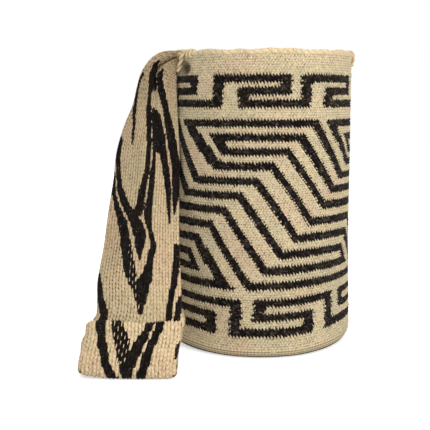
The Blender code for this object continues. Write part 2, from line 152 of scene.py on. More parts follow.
# Each crossing: its middle, then from there its head, the head's lean, width and inner line, and
# its tail
CROSSINGS = [
    (-104.0, -31.5, 1.45, 11.0, 22.3, 61.4),
    (0.0, -64.9, 1.45, 11.0, 20.6, 67.6),
    (107.0, -68.2, 1.22, 8.4, 15.6, 31.9),
    (181.5, -31.5, 1.45, 11.0, 22.3, 31.9),
]

# Borders: left ends of the repeats, hook reach, gap, line rows, first row and direction
UPPER_BORDER = ((-81.0, -18.5, 37.0, 98.0, 158.0, 218.5), 32.5, 9.8, (0, 3, 5, 8, 10, 13), 115, -1)
LOWER_BORDER = ((-66.0, -6.0, 54.5, 115.0, 174.0, 234.0), 38.0, 6.8, (0, 3, 6, 9, 12, 15), 9, 1)
BORDER_BAR = 7.0

# Strap
STRAP_WIDTH = 0.0885
STRAP_THICKNESS = 0.004
LAYER_GAP = 0.0015
CUFF_HEIGHT = 0.0523
CUFF_FRONT = 0.161
CUFF_LEAN = 0.0078
STRAP_OFFSET = 0.0326
STRAP_COLUMNS = 27
STRAP_STITCH = 0.0040
HALF_STRAP = STRAP_THICKNESS / 2
LAYER_PITCH = STRAP_THICKNESS + LAYER_GAP
LEFT_LIMB = LEAN - RIM_RADIUS
LEFT_SEAM_ANGLE = -75.7
LEFT_SEAM_HEIGHT = 0.018
RIGHT_SEAM_ANGLE = 90.0
RIGHT_SEAM_WIDTH = 0.036

# Across the strap's stitches, deep ones first: relief of gaps between cords, rise of the cords'
# crowns, drop of deep stitches, unevenness, the painted shade in gaps and stitches and how far it
# varies, how far stitches slant and cords are shifted against each other in half stitches, and how
# much thinner the edges are
GAP_RELIEF = (-0.00100, -0.00035)
CROWN_RELIEF = 0.00080
STITCH_RELIEF = 0.00042
STRAP_UNEVEN = 0.00013
GAP_CREVICE_SHADES = (1.0, 0.6)
STITCH_CREVICE_SHADES = (0.62, 0.05)
STRAP_CREVICE_SHADE_RANGE = (0.30, 1.2)
STITCH_SLANT = 1.1
CORD_SHIFT = 0.25
EDGE_THINNER = 0.45
SPAN_SAMPLES = 40

# Slow wave across the strap: its height, turns in a metre along, and turns across
STRAP_WAVE = 0.0005
STRAP_WAVE_ALONG = 83
STRAP_WAVE_ACROSS = 3.0

# Softened cuff, in metres: droop of its upper corners, rise of its left side's and its ends' lower
# edges, dip of its top, setback of its ends, and how its left side spreads below and draws in above
CORNER_DROOP = (0.0034, 0.0008)
LEFT_RISE = 0.0030
END_RISE = 0.0015
TOP_DIP = 0.0022
TOP_DIP_PLACE = 0.18
TOP_DIP_HALF = 0.30
END_SETBACK = 0.004
LEFT_SPREAD = 0.0022
LEFT_PULL = 0.0008

# Edges of the hanging front half: (out, forward, rise) left and right, curl, and pleat depth
FRONT_HANG = [
    ((0.0085, 0.0235, 1.008), (-0.0001, 0.0235, 0.929), 0.0, 0.002),
    ((0.0166, 0.0245, 1.001), (-0.0001, 0.0242, 0.919), 0.001, 0.003),
    ((0.0249, 0.0255, 0.981), (-0.0001, 0.0252, 0.907), 0.001, 0.004),
    ((0.0319, 0.0265, 0.948), (-0.0001, 0.0268, 0.889), 0.002, 0.005),
    ((0.0369, 0.0280, 0.913), (-0.0001, 0.0295, 0.863), 0.002, 0.005),
    ((0.0409, 0.0290, 0.859), (-0.0003, 0.0315, 0.826), 0.003, 0.005),
    ((0.0449, 0.0320, 0.794), (-0.0008, 0.0335, 0.786), 0.004, 0.004),
    ((0.0517, 0.0380, 0.725), (-0.0017, 0.0380, 0.725), 0.005, 0.003),
    ((0.0605, 0.0480, 0.604), (-0.0034, 0.0480, 0.604), 0.006, 0.002),
    ((0.0628, 0.0580, 0.503), (-0.0037, 0.0580, 0.503), 0.006, 0.001),
    ((0.0664, 0.0730, 0.380), (-0.0037, 0.0730, 0.380), 0.006, 0.0),
    ((0.0692, 0.0890, 0.257), (-0.0044, 0.0890, 0.257), 0.005, 0.0),
    ((0.0728, 0.1140, 0.119), (-0.0069, 0.1140, 0.119), 0.004, 0.0),
    ((0.0728, 0.1310, 0.015), (-0.0089, 0.1310, 0.015), 0.002, 0.0),
]

# Edges of the rear half, from the cuff up to the rim, and its curl
REAR_HANG = [
    ((0.0724, 0.1205, 0.015), (-0.0076, 0.1205, 0.015), -0.001),
    ((0.0714, 0.1025, 0.119), (-0.0056, 0.1025, 0.119), -0.003),
    ((0.0672, 0.0765, 0.257), (-0.0028, 0.0765, 0.257), -0.004),
    ((0.0644, 0.0585, 0.380), (-0.0016, 0.0585, 0.380), -0.004),
    ((0.0609, 0.0415, 0.503), (-0.0011, 0.0415, 0.503), -0.004),
    ((0.0604, 0.0260, 0.620), (0.0029, 0.0220, 0.620), -0.003),
    ((0.0482, 0.0156, 0.750), (0.0039, -0.0016, 0.750), -0.002),
    ((0.0385, 0.0082, 0.847), (0.0037, -0.0182, 0.847), -0.001),
    ((0.0269, 0.0006, 0.931), (0.0009, -0.0334, 0.931), -0.001),
    ((0.0149, -0.0083, 0.985), (-0.0031, -0.0457, 0.985), 0.0),
]

# The strap over the left rim, and its sag: place in shares of the rim, drop, width, turn
CROSSING_ANGLE = -109.0
CROSSING_WIDTH = 0.042
MOUTH_SAG = [
    (-0.780, 0.268, 0.0028, 0.044, 19.0),
    (-0.669, 0.231, 0.009, 0.050, 19.0),
    (-0.481, 0.171, 0.022, 0.060, 16.0),
    (-0.195, 0.094, 0.036, 0.070, 10.0),
    (0.135, 0.039, 0.043, 0.072, 4.0),
    (0.466, 0.011, 0.0435, 0.066, 0.0),
    (0.708, 0.000, 0.0375, 0.055, 0.0),
    (0.862, 0.000, 0.027, 0.043, 0.0),
]

# Dark stripes on the hanging front half: (millimetres from the seam, left side, right side),
# where the sides run from -1 at the left edge to 1 at the right edge
HANG_STRIPES = [
    [(29, -0.92, -0.78), (36, -0.98, -0.88), (46, -1.0, -0.88), (61, -0.90, -0.76),
     (70, -0.78, -0.64), (79, -0.64, -0.54), (98, -0.56, -0.50)],
    [(14, -0.56, -0.44), (20, -0.60, -0.30), (28, -0.54, -0.18), (36, -0.44, 0.0),
     (41, -0.40, -0.06), (44, -0.38, -0.24), (52, -0.36, -0.20), (62, -0.30, -0.10),
     (79, -0.14, 0.03), (96, -0.05, 0.10), (114, -0.04, 0.11), (132, -0.08, 0.08),
     (141, -0.14, 0.06),
     (150, -0.18, 0.02), (160, -0.20, 0.02), (174, -0.28, 0.0)],
    [(18, -0.02, 0.08), (26, -0.16, 0.18), (34, -0.03, 0.32), (42, 0.08, 0.46), (61, 0.38, 0.64),
     (78, 0.52, 0.82), (96, 0.62, 0.92), (113, 0.72, 0.98), (127, 0.78, 1.0), (148, 0.80, 1.0),
     (162, 0.82, 0.94), (173, 0.84, 0.88)],
    [(59, -0.08, 0.0), (64, -0.10, 0.22), (70, -0.04, 0.36), (78, 0.05, 0.42), (89, 0.12, 0.54),
     (96, 0.13, 0.56), (104, 0.16, 0.58), (108, 0.30, 0.60)],
    [(100, 0.16, 0.26), (114, 0.16, 0.28), (132, 0.12, 0.28), (141, 0.10, 0.28),
     (150, 0.08, 0.26), (164, 0.06, 0.25), (172, 0.04, 0.26), (181, 0.08, 0.26),
     (189, 0.15, 0.28), (198, 0.22, 0.36), (205, 0.24, 0.42), (216, 0.20, 0.36),
     (225, 0.16, 0.34), (234, 0.08, 0.32), (242, -0.02, 0.32), (251, -0.08, 0.24)],
    [(100, 0.36, 0.58), (114, 0.42, 0.64), (131, 0.52, 0.72), (148, 0.60, 0.76),
     (162, 0.66, 0.76), (173, 0.68, 0.76), (182, 0.72, 0.78)],
    [(88, -1.0, -0.92), (96, -1.0, -0.86), (113, -0.98, -0.82), (124, -0.94, -0.80),
     (140, -0.86, -0.70), (148, -0.80, -0.60), (160, -0.66, -0.44), (172, -0.48, -0.18),
     (181, -0.34, 0.0), (190, -0.26, 0.10), (198, -0.16, 0.14), (207, -0.16, 0.08),
     (216, -0.06, 0.04), (222, -0.02, 0.02)],
    [(123, -1.0, -0.98), (139, -1.0, -0.90), (148, -0.98, -0.86), (159, -0.88, -0.74),
     (170, -0.78, -0.58), (180, -0.68, -0.42), (198, -0.56, -0.30), (207, -0.52, -0.22),
     (216, -0.46, -0.18), (225, -0.42, -0.12), (234, -0.36, -0.06), (242, -0.28, -0.06),
     (248, -0.22, 0.0), (251, -0.18, 0.24), (259, -0.12, 0.20), (268, -0.06, 0.14),
     (276, 0.0, 0.06)],
    [(202, 0.86, 0.98), (214, 0.84, 1.0), (224, 0.82, 0.98), (232, 0.80, 0.96),
     (242, 0.76, 0.92), (250, 0.74, 0.88), (259, 0.68, 0.82), (267, 0.66, 0.80),
     (290, 0.56, 0.70)],
    [(256, 0.96, 1.0), (262, 0.90, 1.0), (270, 0.84, 0.98), (290, 0.74, 0.90)],
    [(232, -1.0, -0.96), (241, -1.0, -0.90), (250, -1.0, -0.86), (258, -1.0, -0.84),
     (267, -0.96, -0.78), (276, -0.88, -0.68), (290, -0.84, -0.64)],
]

# Dark stripes on the cuff's outer layer: (millimetres below the cuff's top, left, right)
CUFF_STRIPES = [
    [(0, -0.76, -0.56), (6, -0.76, -0.56), (15, -0.72, -0.54), (22, -0.68, -0.48),
     (29, -0.60, -0.42), (37, -0.54, -0.36), (44, -0.48, -0.28), (52, -0.40, -0.12)],
    [(0, 0.28, 0.50), (7, 0.20, 0.36), (15, 0.08, 0.32), (22, 0.02, 0.26), (29, -0.04, 0.22),
     (37, -0.16, 0.18), (44, -0.16, 0.12), (52, -0.10, 0.04)],
    [(0, 0.50, 0.66), (6, 0.44, 0.64), (15, 0.36, 0.54), (22, 0.32, 0.50), (29, 0.28, 0.46),
     (37, 0.26, 0.46), (44, 0.20, 0.40), (52, 0.16, 0.34)],
    [(47, -1.0, -0.94), (52, -1.0, -0.86)],
    [(48, 0.92, 1.0), (52, 0.86, 1.0)],
    [(19, 0.96, 1.0), (26, 0.93, 1.0), (34, 0.96, 1.0)],
]

# Speckled fields: dark dashes between pale cords and pale dots in a dark stripe on the front
# half, and pale dots on dark cords on the cuff
HANG_DASHES = [[(190, -0.60, -0.56), (205, -0.72, -0.50), (222, -0.80, -0.42),
                (240, -0.80, -0.30), (256, -0.76, -0.16), (266, -0.70, -0.06),
                (290, -0.64, 0.02)]]
HANG_DOTS = [[(204, -0.30, -0.20), (216, -0.30, -0.12), (234, -0.26, -0.06), (251, -0.22, -0.02),
              (262, -0.14, 0.0), (274, -0.04, 0.06)]]
CUFF_DOTS = [[(0, -0.44, -0.20), (7, -0.44, -0.14), (15, -0.38, -0.04), (22, -0.33, -0.01),
              (29, -0.27, -0.03), (36, -0.22, -0.08)]]

# Painted shade on the strap: metres from the seam and share, more toward the left edge, less on
# the roll beside the seam
PAINTED_SHADE_PLACES = (0.004, 0.022, 0.120, 0.200, 0.280, 0.300)
PAINTED_SHADE_SHARES = (0.0, 0.78, 1.0, 0.72, 0.34, 0.0)
PAINTED_SHADE_MIDDLE = 0.88
PAINTED_SHADE_SLOPE = 0.28
PAINTED_SHADE_LEFT = 0.34
UNSHADED_ROLL = 0.85

# Where the pleat near the seam runs: metres from the seam and place across; how much deeper it
# is there, how far that reaches, its half width and the painted shade in its crease; the roll
# beside it; and how much higher relief and stronger painted shade in gaps are there
PLEAT_PLACES = (0.0, 0.006, 0.011, 0.018, 0.026, 0.033, 0.044, 0.060)
PLEAT_ACROSS = (-0.26, -0.14, -0.16, -0.28, -0.32, -0.17, -0.07, 0.0)
PLEAT_DEEPER = 0.0042
PLEAT_REACH = 0.040
PLEAT_HALF = 0.17
PLEAT_NARROWER = 0.06
PLEAT_PAINTED_SHADE = 0.9
ROLL_HEIGHT = 0.0030
ROLL_PLACE = -0.40
ROLL_HALF = 0.22
SEAM_RELIEF = 0.8
SEAM_CREVICE_SHADE = 0.6

# How much wider the dark yarn spreads than the stripes, and the most a depth can be, in millimetres
STRIPE_SPREAD = 0.20
DEEPEST = 3.0

# How far stripe edges follow whole cords, and share of the gaps that carry a dark dash
STEP_BY_CORD = 0.45
DASHED_SHARE = 0.8

# How far the hanging half's stripes run on, and how far before its crest the cuff's begin
STRIPES_BEYOND = 0.02
CREST_MARGIN = 0.002

# Chevrons on the rest of the strap; depth in a line grows by so many millimetres a metre
CHEVRON_PITCH = 0.150
CHEVRON_RISE = 0.085
CHEVRON_DEPTH = 450
CHEVRON_LINES = [(0.000, 0.010), (0.016, 0.036), (0.070, 0.079)]

# Photograph's camera
CAMERA_PLACE = (-0.0459, -0.9054, 0.2509)
CAMERA_DIP = 7.626
FOCAL_PIXELS = 850.0
PICTURE_PIXELS = 430.0

# Soft light, and how far the floor is lifted to the backdrop's white where it is seen
WORLD_LIGHT = 0.62
FLOOR_LIFT = 0.50
WORLD_COLOR = (1.0, 0.99, 0.975)
LAMP_AIM = (-0.03, 0.0, 0.14)
LAMPS = [("key", (0.18, -1.5, 1.25), 1.1, 19.5, (1.0, 0.985, 0.96)),
         ("fill", (1.5, -0.9, 0.9), 1.4, 7.0, (1.0, 0.985, 0.965)),
         ("back", (-0.6, 1.6, 1.2), 1.5, 10.0, (1.0, 0.985, 0.965))]

# Yarns: tints that drift, the tint of lighter stitches and how far tones spread toward it, the
# tint of painted shade in gaps and its strength, and the tint of hairs; and the tint of the painted
# shade on the strap
CREAM_YARN = (((0.75, 0.575, 0.38), (0.77, 0.635, 0.40), (0.68, 0.585, 0.38)),
              (0.87, 0.79, 0.58), 0.30, (0.08, 0.054, 0.031), 0.86, (0.96, 0.92, 0.80))
DARK_YARN = (((0.009, 0.006, 0.006), (0.006, 0.004, 0.004), (0.016, 0.009, 0.006)),
             (0.15, 0.12, 0.095), 0.20, (0.001, 0.001, 0.001), 0.9, (0.34, 0.28, 0.22))
STRAP_CREAM_YARN = (((0.73, 0.52, 0.33), (0.75, 0.57, 0.35), (0.68, 0.54, 0.33)),
                    (0.92, 0.78, 0.50), 0.28, (0.045, 0.028, 0.016), 0.94, (0.92, 0.85, 0.68))
STRAP_DARK_YARN = (((0.006, 0.003, 0.003), (0.004, 0.003, 0.003), (0.011, 0.006, 0.004)),
                   (0.08, 0.06, 0.045), 0.10, (0.001, 0.001, 0.001), 0.9, (0.20, 0.15, 0.11))
EDGING_YARN = (((0.68, 0.52, 0.32), (0.72, 0.58, 0.35), (0.62, 0.51, 0.31)),
               (0.86, 0.75, 0.51), 0.26, (0.13, 0.085, 0.045), 0.80, (0.88, 0.81, 0.64))
PAINTED_SHADE_TINT = (0.66, 0.665, 0.66)

# Seam cord at the left, and the stitches beside it: angles in degrees, lengths in metres
LASHING_TOP = -62.6
LASHING_BOTTOM = -71.5
LASHING_DROP = 0.0185
LASHING_OUT = 0.0024
LEFT_YARNS = (-59.4, -55.9)
LEFT_YARN_LEG = 0.0062
RIGHT_YARN_LEG = 0.013
RIGHT_YARNS = 4
RIGHT_YARN_STEP = 4.8

# Radius and length of a twist of the lashing and of the seam yarns
LASHING_RADIUS = 0.0025
LASHING_TWIST = 0.009
LASHING_STEPS = 49
YARN_RADIUS = 0.0014
YARN_TWIST = 0.0055
YARN_SIDES = 10


def smooth_step(low, high, value):
    """Go from 0 to 1 with no kink while value goes from low to high."""
    share = np.clip((value - low) / (high - low), 0.0, 1.0)
    return share * share * (3 - 2 * share)


def wrapped(angle):
    """Bring angles in degrees into the range -180 to 180."""
    return (angle + 180.0) % 360.0 - 180.0


def bag_radius(height):
    """Outer radius of the wall."""
    reach = 2 * height / BAG_HEIGHT - 1
    taper = (RIM_RADIUS - BASE_RADIUS) / 2
    bow = (RIM_RADIUS + BASE_RADIUS) / 2 - WAIST_RADIUS
    return WAIST_RADIUS + taper * reach + bow * reach * reach


def side_lift(angle):
    """How far the soft edge of the base rises at the bag's two sides."""
    return SIDE_LIFT * smooth_step(*SIDE_LIFT_ANGLES, np.abs(wrapped(angle)))


def row_climb(angle, height):
    """How far rows stand above their even places, because the yarn pulls unevenly."""
    levels, left, right = np.array(ROW_CLIMB).T
    on_left = np.interp(height, levels, left)
    on_right = np.interp(height, levels, right)
    around = wrapped(angle)
    share = smooth_step(*FRONT_ANGLES, around) * (1 - smooth_step(BACK_ANGLE, 180.0, around))
    back = smooth_step(BACK_ANGLE, 180.0, around) + 1 - smooth_step(-180.0, -BACK_ANGLE, around)
    side = share * on_right + (1 - share) * on_left
    return side + np.clip(back, 0, 1) * ((on_left + on_right) / 2 - side)


def hollow(angle, height):
    """Share of the hollow that the lashing pulls into the wall beside it."""
    around = wrapped(angle - HOLLOW_ANGLE) / HOLLOW_ANGLE_REACH
    upward = (height - HOLLOW_HEIGHT) / HOLLOW_HEIGHT_REACH
    return np.exp(-(around ** 2 + upward ** 2) ** 2)


def slump(angle, height):
    """Soft unevenness of the wall: shallow hollows and swellings."""
    turn = np.radians(angle)
    wave = 0.5 * np.sin(3 * turn + 1.3 + height * 17) + 0.5 * np.sin(5 * turn + 0.4 - height * 29)
    wave = WALL_WAVE * wave * smooth_step(0.0, UNEVEN_FROM, height)
    return wave - HOLLOW_DEPTH * hollow(angle, height)


def wall_points(angle, height, out):
    """Points on the wall for arrays of angles, heights and distances out from it."""
    turn = np.radians(angle)
    radius = bag_radius(height) + slump(angle, height) + out
    fade = 1 - smooth_step(BASE_EDGE, BASE_EDGE + SIDE_LIFT_FADE, height)
    climb = row_climb(angle, height) * smooth_step(BASE_EDGE, UNEVEN_FROM, height)
    rise = side_lift(angle) * fade * smooth_step(0.0, BASE_EDGE, height) + climb
    x = LEAN * height / BAG_HEIGHT + radius * np.sin(turn)
    return np.stack([x, -radius * np.cos(turn), height + rise], axis=-1)


def in_bar(level, row):
    """True on the rows of a level's bar."""
    top = TOP_LEVEL_ROW - LEVEL_ROWS * level
    return (row < top) & (row >= top - BAR_ROWS)


def slanted(left, top_level, low_level, angle, row, lean, width):
    """True on a slanted band whose left side meets the top level at the angle left."""
    top = TOP_LEVEL_ROW - LEVEL_ROWS * top_level
    low = TOP_LEVEL_ROW - LEVEL_ROWS * low_level - BAR_ROWS
    start = left + lean * (top - row)
    return (row >= low) & (row < top) & (angle >= start) & (angle <= start + width)


def on_band(band, local, row, crossing, following):
    """True on one band: a level bar, a slanted stretch, and a lower bar."""
    _, head, head_lean, _, inner_head, tail = crossing
    low_level = band + HEAD_LEVELS
    top = TOP_LEVEL_ROW - LEVEL_ROWS * band
    low_top = TOP_LEVEL_ROW - LEVEL_ROWS * low_level
    tail_top = TOP_LEVEL_ROW - LEVEL_ROWS * 8
    corner = CORNER_ANGLE - CORNER_STEP * band
    side = corner + LEAN_PER_ROW * (top - row)
    dark = slanted(corner - BAND_ANGLE, band, low_level, local, row, LEAN_PER_ROW, BAND_ANGLE)
    if band < HEAD_LEVELS:
        next_corner = following + CORNER_ANGLE - CORNER_STEP * low_level
        bar_start = head + head_lean * (TOP_LEVEL_ROW - row)
        if band in (1, 2):
            bar_start = head + inner_head + INNER_HEAD_LEAN * (TOP_LEVEL_ROW - row)
        bar_end = next_corner + LEAN_PER_ROW * (low_top - row)
    else:
        bar_start = side - BAND_ANGLE
        bar_end = tail + TAIL_LEAN * (tail_top - row)
        if band in (5, 6):
            bar_end = tail - TAIL_STEP + INNER_TAIL_LEAN * (tail_top - row)
    dark |= in_bar(band, row) & (local >= bar_start) & (local <= side)
    return dark | in_bar(low_level, row) & (local >= side - BAND_ANGLE) & (local <= bar_end)


def on_motif(angle, row):
    """True on the wide motif of bands that step down to the right."""
    dark = np.zeros(np.broadcast(angle, row).shape, dtype=bool)
    for index, crossing in enumerate(CROSSINGS):
        middle, head, head_lean, head_angle, inner_head, tail = crossing
        local = wrapped(angle - middle)
        following = (CROSSINGS[(index + 1) % len(CROSSINGS)][0] - middle) % 360.0
        for band in range(LEVEL_COUNT - HEAD_LEVELS):
            dark |= on_band(band, local, row, crossing, following)
        start = head + inner_head + INNER_HEAD_LEAN * LEVEL_ROWS
        dark |= slanted(head, 0, 3, local, row, head_lean, head_angle)
        dark |= slanted(start, 1, 2, local, row, INNER_HEAD_LEAN, INNER_HEAD_ANGLE)
        end = tail - TAIL_STEP + INNER_TAIL_LEAN * LEVEL_ROWS
        dark |= slanted(tail - TAIL_ANGLE, 8, 11, local, row, TAIL_LEAN, TAIL_ANGLE)
        dark |= slanted(end - INNER_TAIL_ANGLE, 9, 10, local, row, INNER_TAIL_LEAN,
                        INNER_TAIL_ANGLE)
    return dark


def on_border(border, angle, row):
    """True on a border of squared hooks that are joined in one running line."""
    starts, hook, gap, lines, first_row, direction = border
    depth = (row - first_row) * direction
    first, first_end, inner, inner_end, last, last_end = lines
    dark = np.zeros(np.broadcast(angle, row).shape, dtype=bool)
    for index, start in enumerate(starts):
        following = starts[(index + 1) % len(starts)]
        local = wrapped(angle - start)
        end = (following - start) % 360.0 - gap
        on_hook = (local >= 0) & (local <= hook)
        dark |= (depth < first_end) & (local >= -gap - BORDER_BAR) & (local <= hook)
        dark |= (depth >= inner) & (depth < inner_end) & on_hook
        dark |= (depth >= last) & (local >= 0) & (local <= end)
        dark |= (depth >= inner) & (local >= 0) & (local <= BORDER_BAR)
        dark |= (depth < inner_end) & (local >= hook - BORDER_BAR) & (local <= hook)
        dark |= (local >= end - BORDER_BAR) & (local <= end)
    return dark & (depth >= first) & (depth < last_end)


def is_dark(angle, row):
    """True for the stitches crocheted in dark wool; row is the middle of the stitch."""
    dark = on_motif(angle, row)
    for border in (UPPER_BORDER, LOWER_BORDER):
        dark |= on_border(border, angle, row)
    return dark


def new_object(name, points, faces, materials, slots=None, values=None, tones=None):
    """Make a mesh object; values are per point and tones per face, and its materials read both."""
    mesh = bpy.data.meshes.new(name)
    mesh.from_pydata(np.asarray(points).tolist(), [], faces)
    for entry in materials:
        mesh.materials.append(entry)
    if slots is not None:
        mesh.polygons.foreach_set("material_index", np.asarray(slots, dtype=np.int32))
    for label, numbers in (values or {}).items():
        layer = mesh.attributes.new(label, "FLOAT", "POINT")
        layer.data.foreach_set("value", np.asarray(numbers, dtype=np.float32))
    if tones is not None:
        layer = mesh.attributes.new("tone", "FLOAT", "FACE")
        layer.data.foreach_set("value", np.asarray(tones, dtype=np.float32))
    mesh.shade_smooth()
    mesh.update()
    made = bpy.data.objects.new(name, mesh)
    bpy.context.scene.collection.objects.link(made)
    return made


class Rings:
    """A closed mesh built from closed rings of points, each ring with a column count of its own."""

    def __init__(self, inward=False):
        self.inward = inward
        self.points = []
        # Strength of the painted shade at every point, darkest in gaps and creases
        self.crevice_shades = []
        self.starts = []
        self.counts = []
        self.faces = []
        self.slots = []
        self.tones = []
        self.total = 0

    def add(self, ring, crevice_shade=0.5):
        """Append one ring; the faces come with join."""
        self.starts.append(self.total)
        self.counts.append(len(ring))
        self.points.append(ring)
        self.crevice_shades.append(np.broadcast_to(crevice_shade, (len(ring),)))
        self.total += len(ring)

    def keep(self, new, slots, tones):
        """Store faces, turned round on a piece that faces inward."""
        self.faces += [face[::-1] for face in new] if self.inward else new
        self.slots += list(slots)
        self.tones += list(tones)

    def join(self, slots=None, tones=None):
        """Join the last two rings; the last may have a multiple of the other ring's points."""
        low, high = self.starts[-2:]
        count, following = self.counts[-2:]
        ratio = following // count
        new = []
        for i in range(count):
            nxt = (i + 1) % count
            for j in range(ratio):
                here = high + i * ratio + j
                ahead = high + (i * ratio + j + 1) % following
                is_last = j == ratio - 1
                new.append((low + i, low + nxt, ahead, here) if is_last else (low + i, ahead, here))
        even = np.zeros(len(new))
        self.keep(new, even if slots is None else slots, even if tones is None else tones)

    def cap(self, at_start):
        """Close the first or the last ring with one flat face."""
        index = 0 if at_start else -1
        start, count = self.starts[index], self.counts[index]
        face = tuple(range(start, start + count))
        self.keep([face[::-1] if at_start else face], [0], [0.0])

    def build(self, name, materials):
        """Make the object."""
        values = {"crevice_shade": np.concatenate(self.crevice_shades)}
        points = np.concatenate(self.points)
        return new_object(name, points, self.faces, materials, self.slots, values, self.tones)


def stitch_tones():
    """A tone for every stitch of the wall, by row and stitch."""
    spread = random.normal(0.0, 1.0, (ROWS_IN_HEIGHT, STITCHES))
    return spread * 0.8 + 0.2 * np.roll(spread, 1, axis=1)


def column_angles(step_angle, rows):
    """Angles of the columns of points at a row, or at a row each."""
    return np.arange(round(360.0 / step_angle)) * step_angle - LEAN_PER_ROW * rows


def dark_stitches():
    """Which stitches are dark, by row and stitch."""
    rows = np.arange(ROWS_IN_HEIGHT)[:, None] + 0.5
    centers = (np.arange(STITCHES)[None, :] + 0.5) * 360.0 / STITCHES - LEAN_PER_ROW * rows
    return is_dark(centers, np.broadcast_to(rows, centers.shape))


def edge_shifts(dark):
    """How far each point on the edges between rows rises, in rows."""
    shifts = np.zeros((ROWS_IN_HEIGHT + 1, COLUMNS))
    rise = np.array(STITCH_RISE)[PART_AT]
    for row in range(FIRST_ROW + 1, TOP_ROW):
        change = dark[row].astype(float) - dark[row - 1]
        at_gap = (change[STITCH_AT] + change[STITCH_AT - 1]) / 2
        change = np.where(PART_AT == 0, at_gap, change[STITCH_AT])
        size = RISE_WITHIN + RISE_AT_CHANGE * np.abs(change)
        size = size * (1 + RISE_BY_POINT * random.normal(0.0, 1.0, COLUMNS))
        size = size * (1 + RISE_BY_STITCH * random.normal(0.0, 1.0, STITCHES))[STITCH_AT]
        spread = 1 + SPREAD_BY_STITCH * random.normal(0.0, 1.0, STITCHES)
        spread = DARK_SPREAD * spread[STITCH_AT]
        shifts[row] = rise * size - change * spread
    return shifts


def face_colors(dark):
    """Slots of the wall's faces by half row and column: slanted edges of the pattern are ragged."""
    slots = np.repeat(dark[:, STITCH_AT].astype(int), 2, axis=0)
    before = np.repeat(np.roll(dark, 1, axis=1)[:, STITCH_AT].astype(int), 2, axis=0)
    after = np.repeat(np.roll(dark, -1, axis=1)[:, STITCH_AT].astype(int), 2, axis=0)
    chance = random.random_sample(slots.shape)
    upper = (np.arange(2 * ROWS_IN_HEIGHT) % 2 == 1)[:, None]
    at_left = (PART_AT == 0) & (chance < RAGGED_FIRST) | (PART_AT == 1) & (chance > RAGGED_SECOND)
    at_left &= (before != slots) & upper
    at_right = (after != slots) & (PART_AT == PARTS - 1) & ~upper & (chance < RAGGED_LAST)
    return np.where(at_left | at_right, 1 - slots, slots)


def wall_rings(rings, low_row, high_row, tones, colors, shifts):
    """Add the stitches between two rows: two rings of points a row."""
    # Every point carries the strength of the painted shade in the gaps between stitches and strands
    edge = (np.array(EDGE_RELIEF)[PART_AT], np.array(EDGE_CREVICE_SHADE)[PART_AT])
    middle = (np.array(MIDDLE_RELIEF)[PART_AT], np.array(MIDDLE_CREVICE_SHADE)[PART_AT])
    for step in range(2 * low_row, 2 * high_row + 1):
        shift = (shifts[step // 2] + shifts[(step + 1) // 2]) / 2
        out, crevice_shade = middle if step % 2 else edge
        out = out + UNEVEN_RELIEF * random.normal(0.0, 1.0, COLUMNS)
        if step % 2:
            out = out + RELIEF_BY_TONE * tones[step // 2][STITCH_AT]
        crevice_shade = crevice_shade * random.uniform(*CREVICE_SHADE_RANGE, COLUMNS)
        wobble = UNEVEN_ANGLE * random.normal(0.0, 1.0, COLUMNS)
        heights = (step / 2 + shift) * ROW + UNEVEN_HEIGHT * random.normal(0.0, 1.0, COLUMNS)
        angles = column_angles(COLUMN_ANGLE, step / 2 + SHIFT_LEAN * shift) + wobble
        # Painted shadow in the hollow that the lashing pulls into the wall
        crevice_shade = np.maximum(crevice_shade, HOLLOW_SHADE * hollow(angles, heights))
        rings.add(wall_points(angles, heights, out), crevice_shade)
        if step == 2 * low_row:
            if len(rings.starts) > 1:
                rings.join()
        else:
            rings.join(colors[step - 1], tones[(step - 1) // 2][STITCH_AT])


def skin_rows(high_row, low_row):
    """Rows of the plain rings behind the stitches, closer together beside the recess."""
    rows = [high_row]
    while rows[-1] > low_row:
        stride = FINE_SKIN_STRIDE if rows[-1] > FINE_SKIN_ROW else SKIN_STRIDE
        rows.append(max(low_row, rows[-1] - stride))
    return rows


def wall_skin(rings, step_angle, high_row, low_row):
    """Add plain rings down the middle of the wall, which close the piece behind its stitches."""
    for row in skin_rows(high_row, low_row):
        angles = column_angles(step_angle, row)
        rings.add(wall_points(angles, np.full(len(angles), row * ROW), -WALL * 0.55))
        rings.join()


def base_rounds(rings, outward, radius, rounds, strides, heights, crevice_shades):
    """Add rounds of the base; heights and painted shades are those of ridges and of gaps between
    them.
    """
    for step, stride in enumerate(strides, 1):
        ring = outward[::stride] * (radius * step / rounds)
        ring[:, 2] = heights[(step + 1) % 2]
        rings.add(ring, crevice_shades[(step + 1) % 2])
        if step == 1:
            rings.cap(at_start=True)
        else:
            rings.join()


def close_base(rings, ring, height):
    """End a piece with a flat face inside the base."""
    ring[:, 2] = height
    rings.add(ring)
    rings.join()
    rings.cap(at_start=False)


def outward_from_axis(angles):
    """Level directions away from the bag's axis."""
    turn = np.radians(angles)
    return np.stack([np.sin(turn), -np.cos(turn), np.zeros_like(turn)], axis=-1)


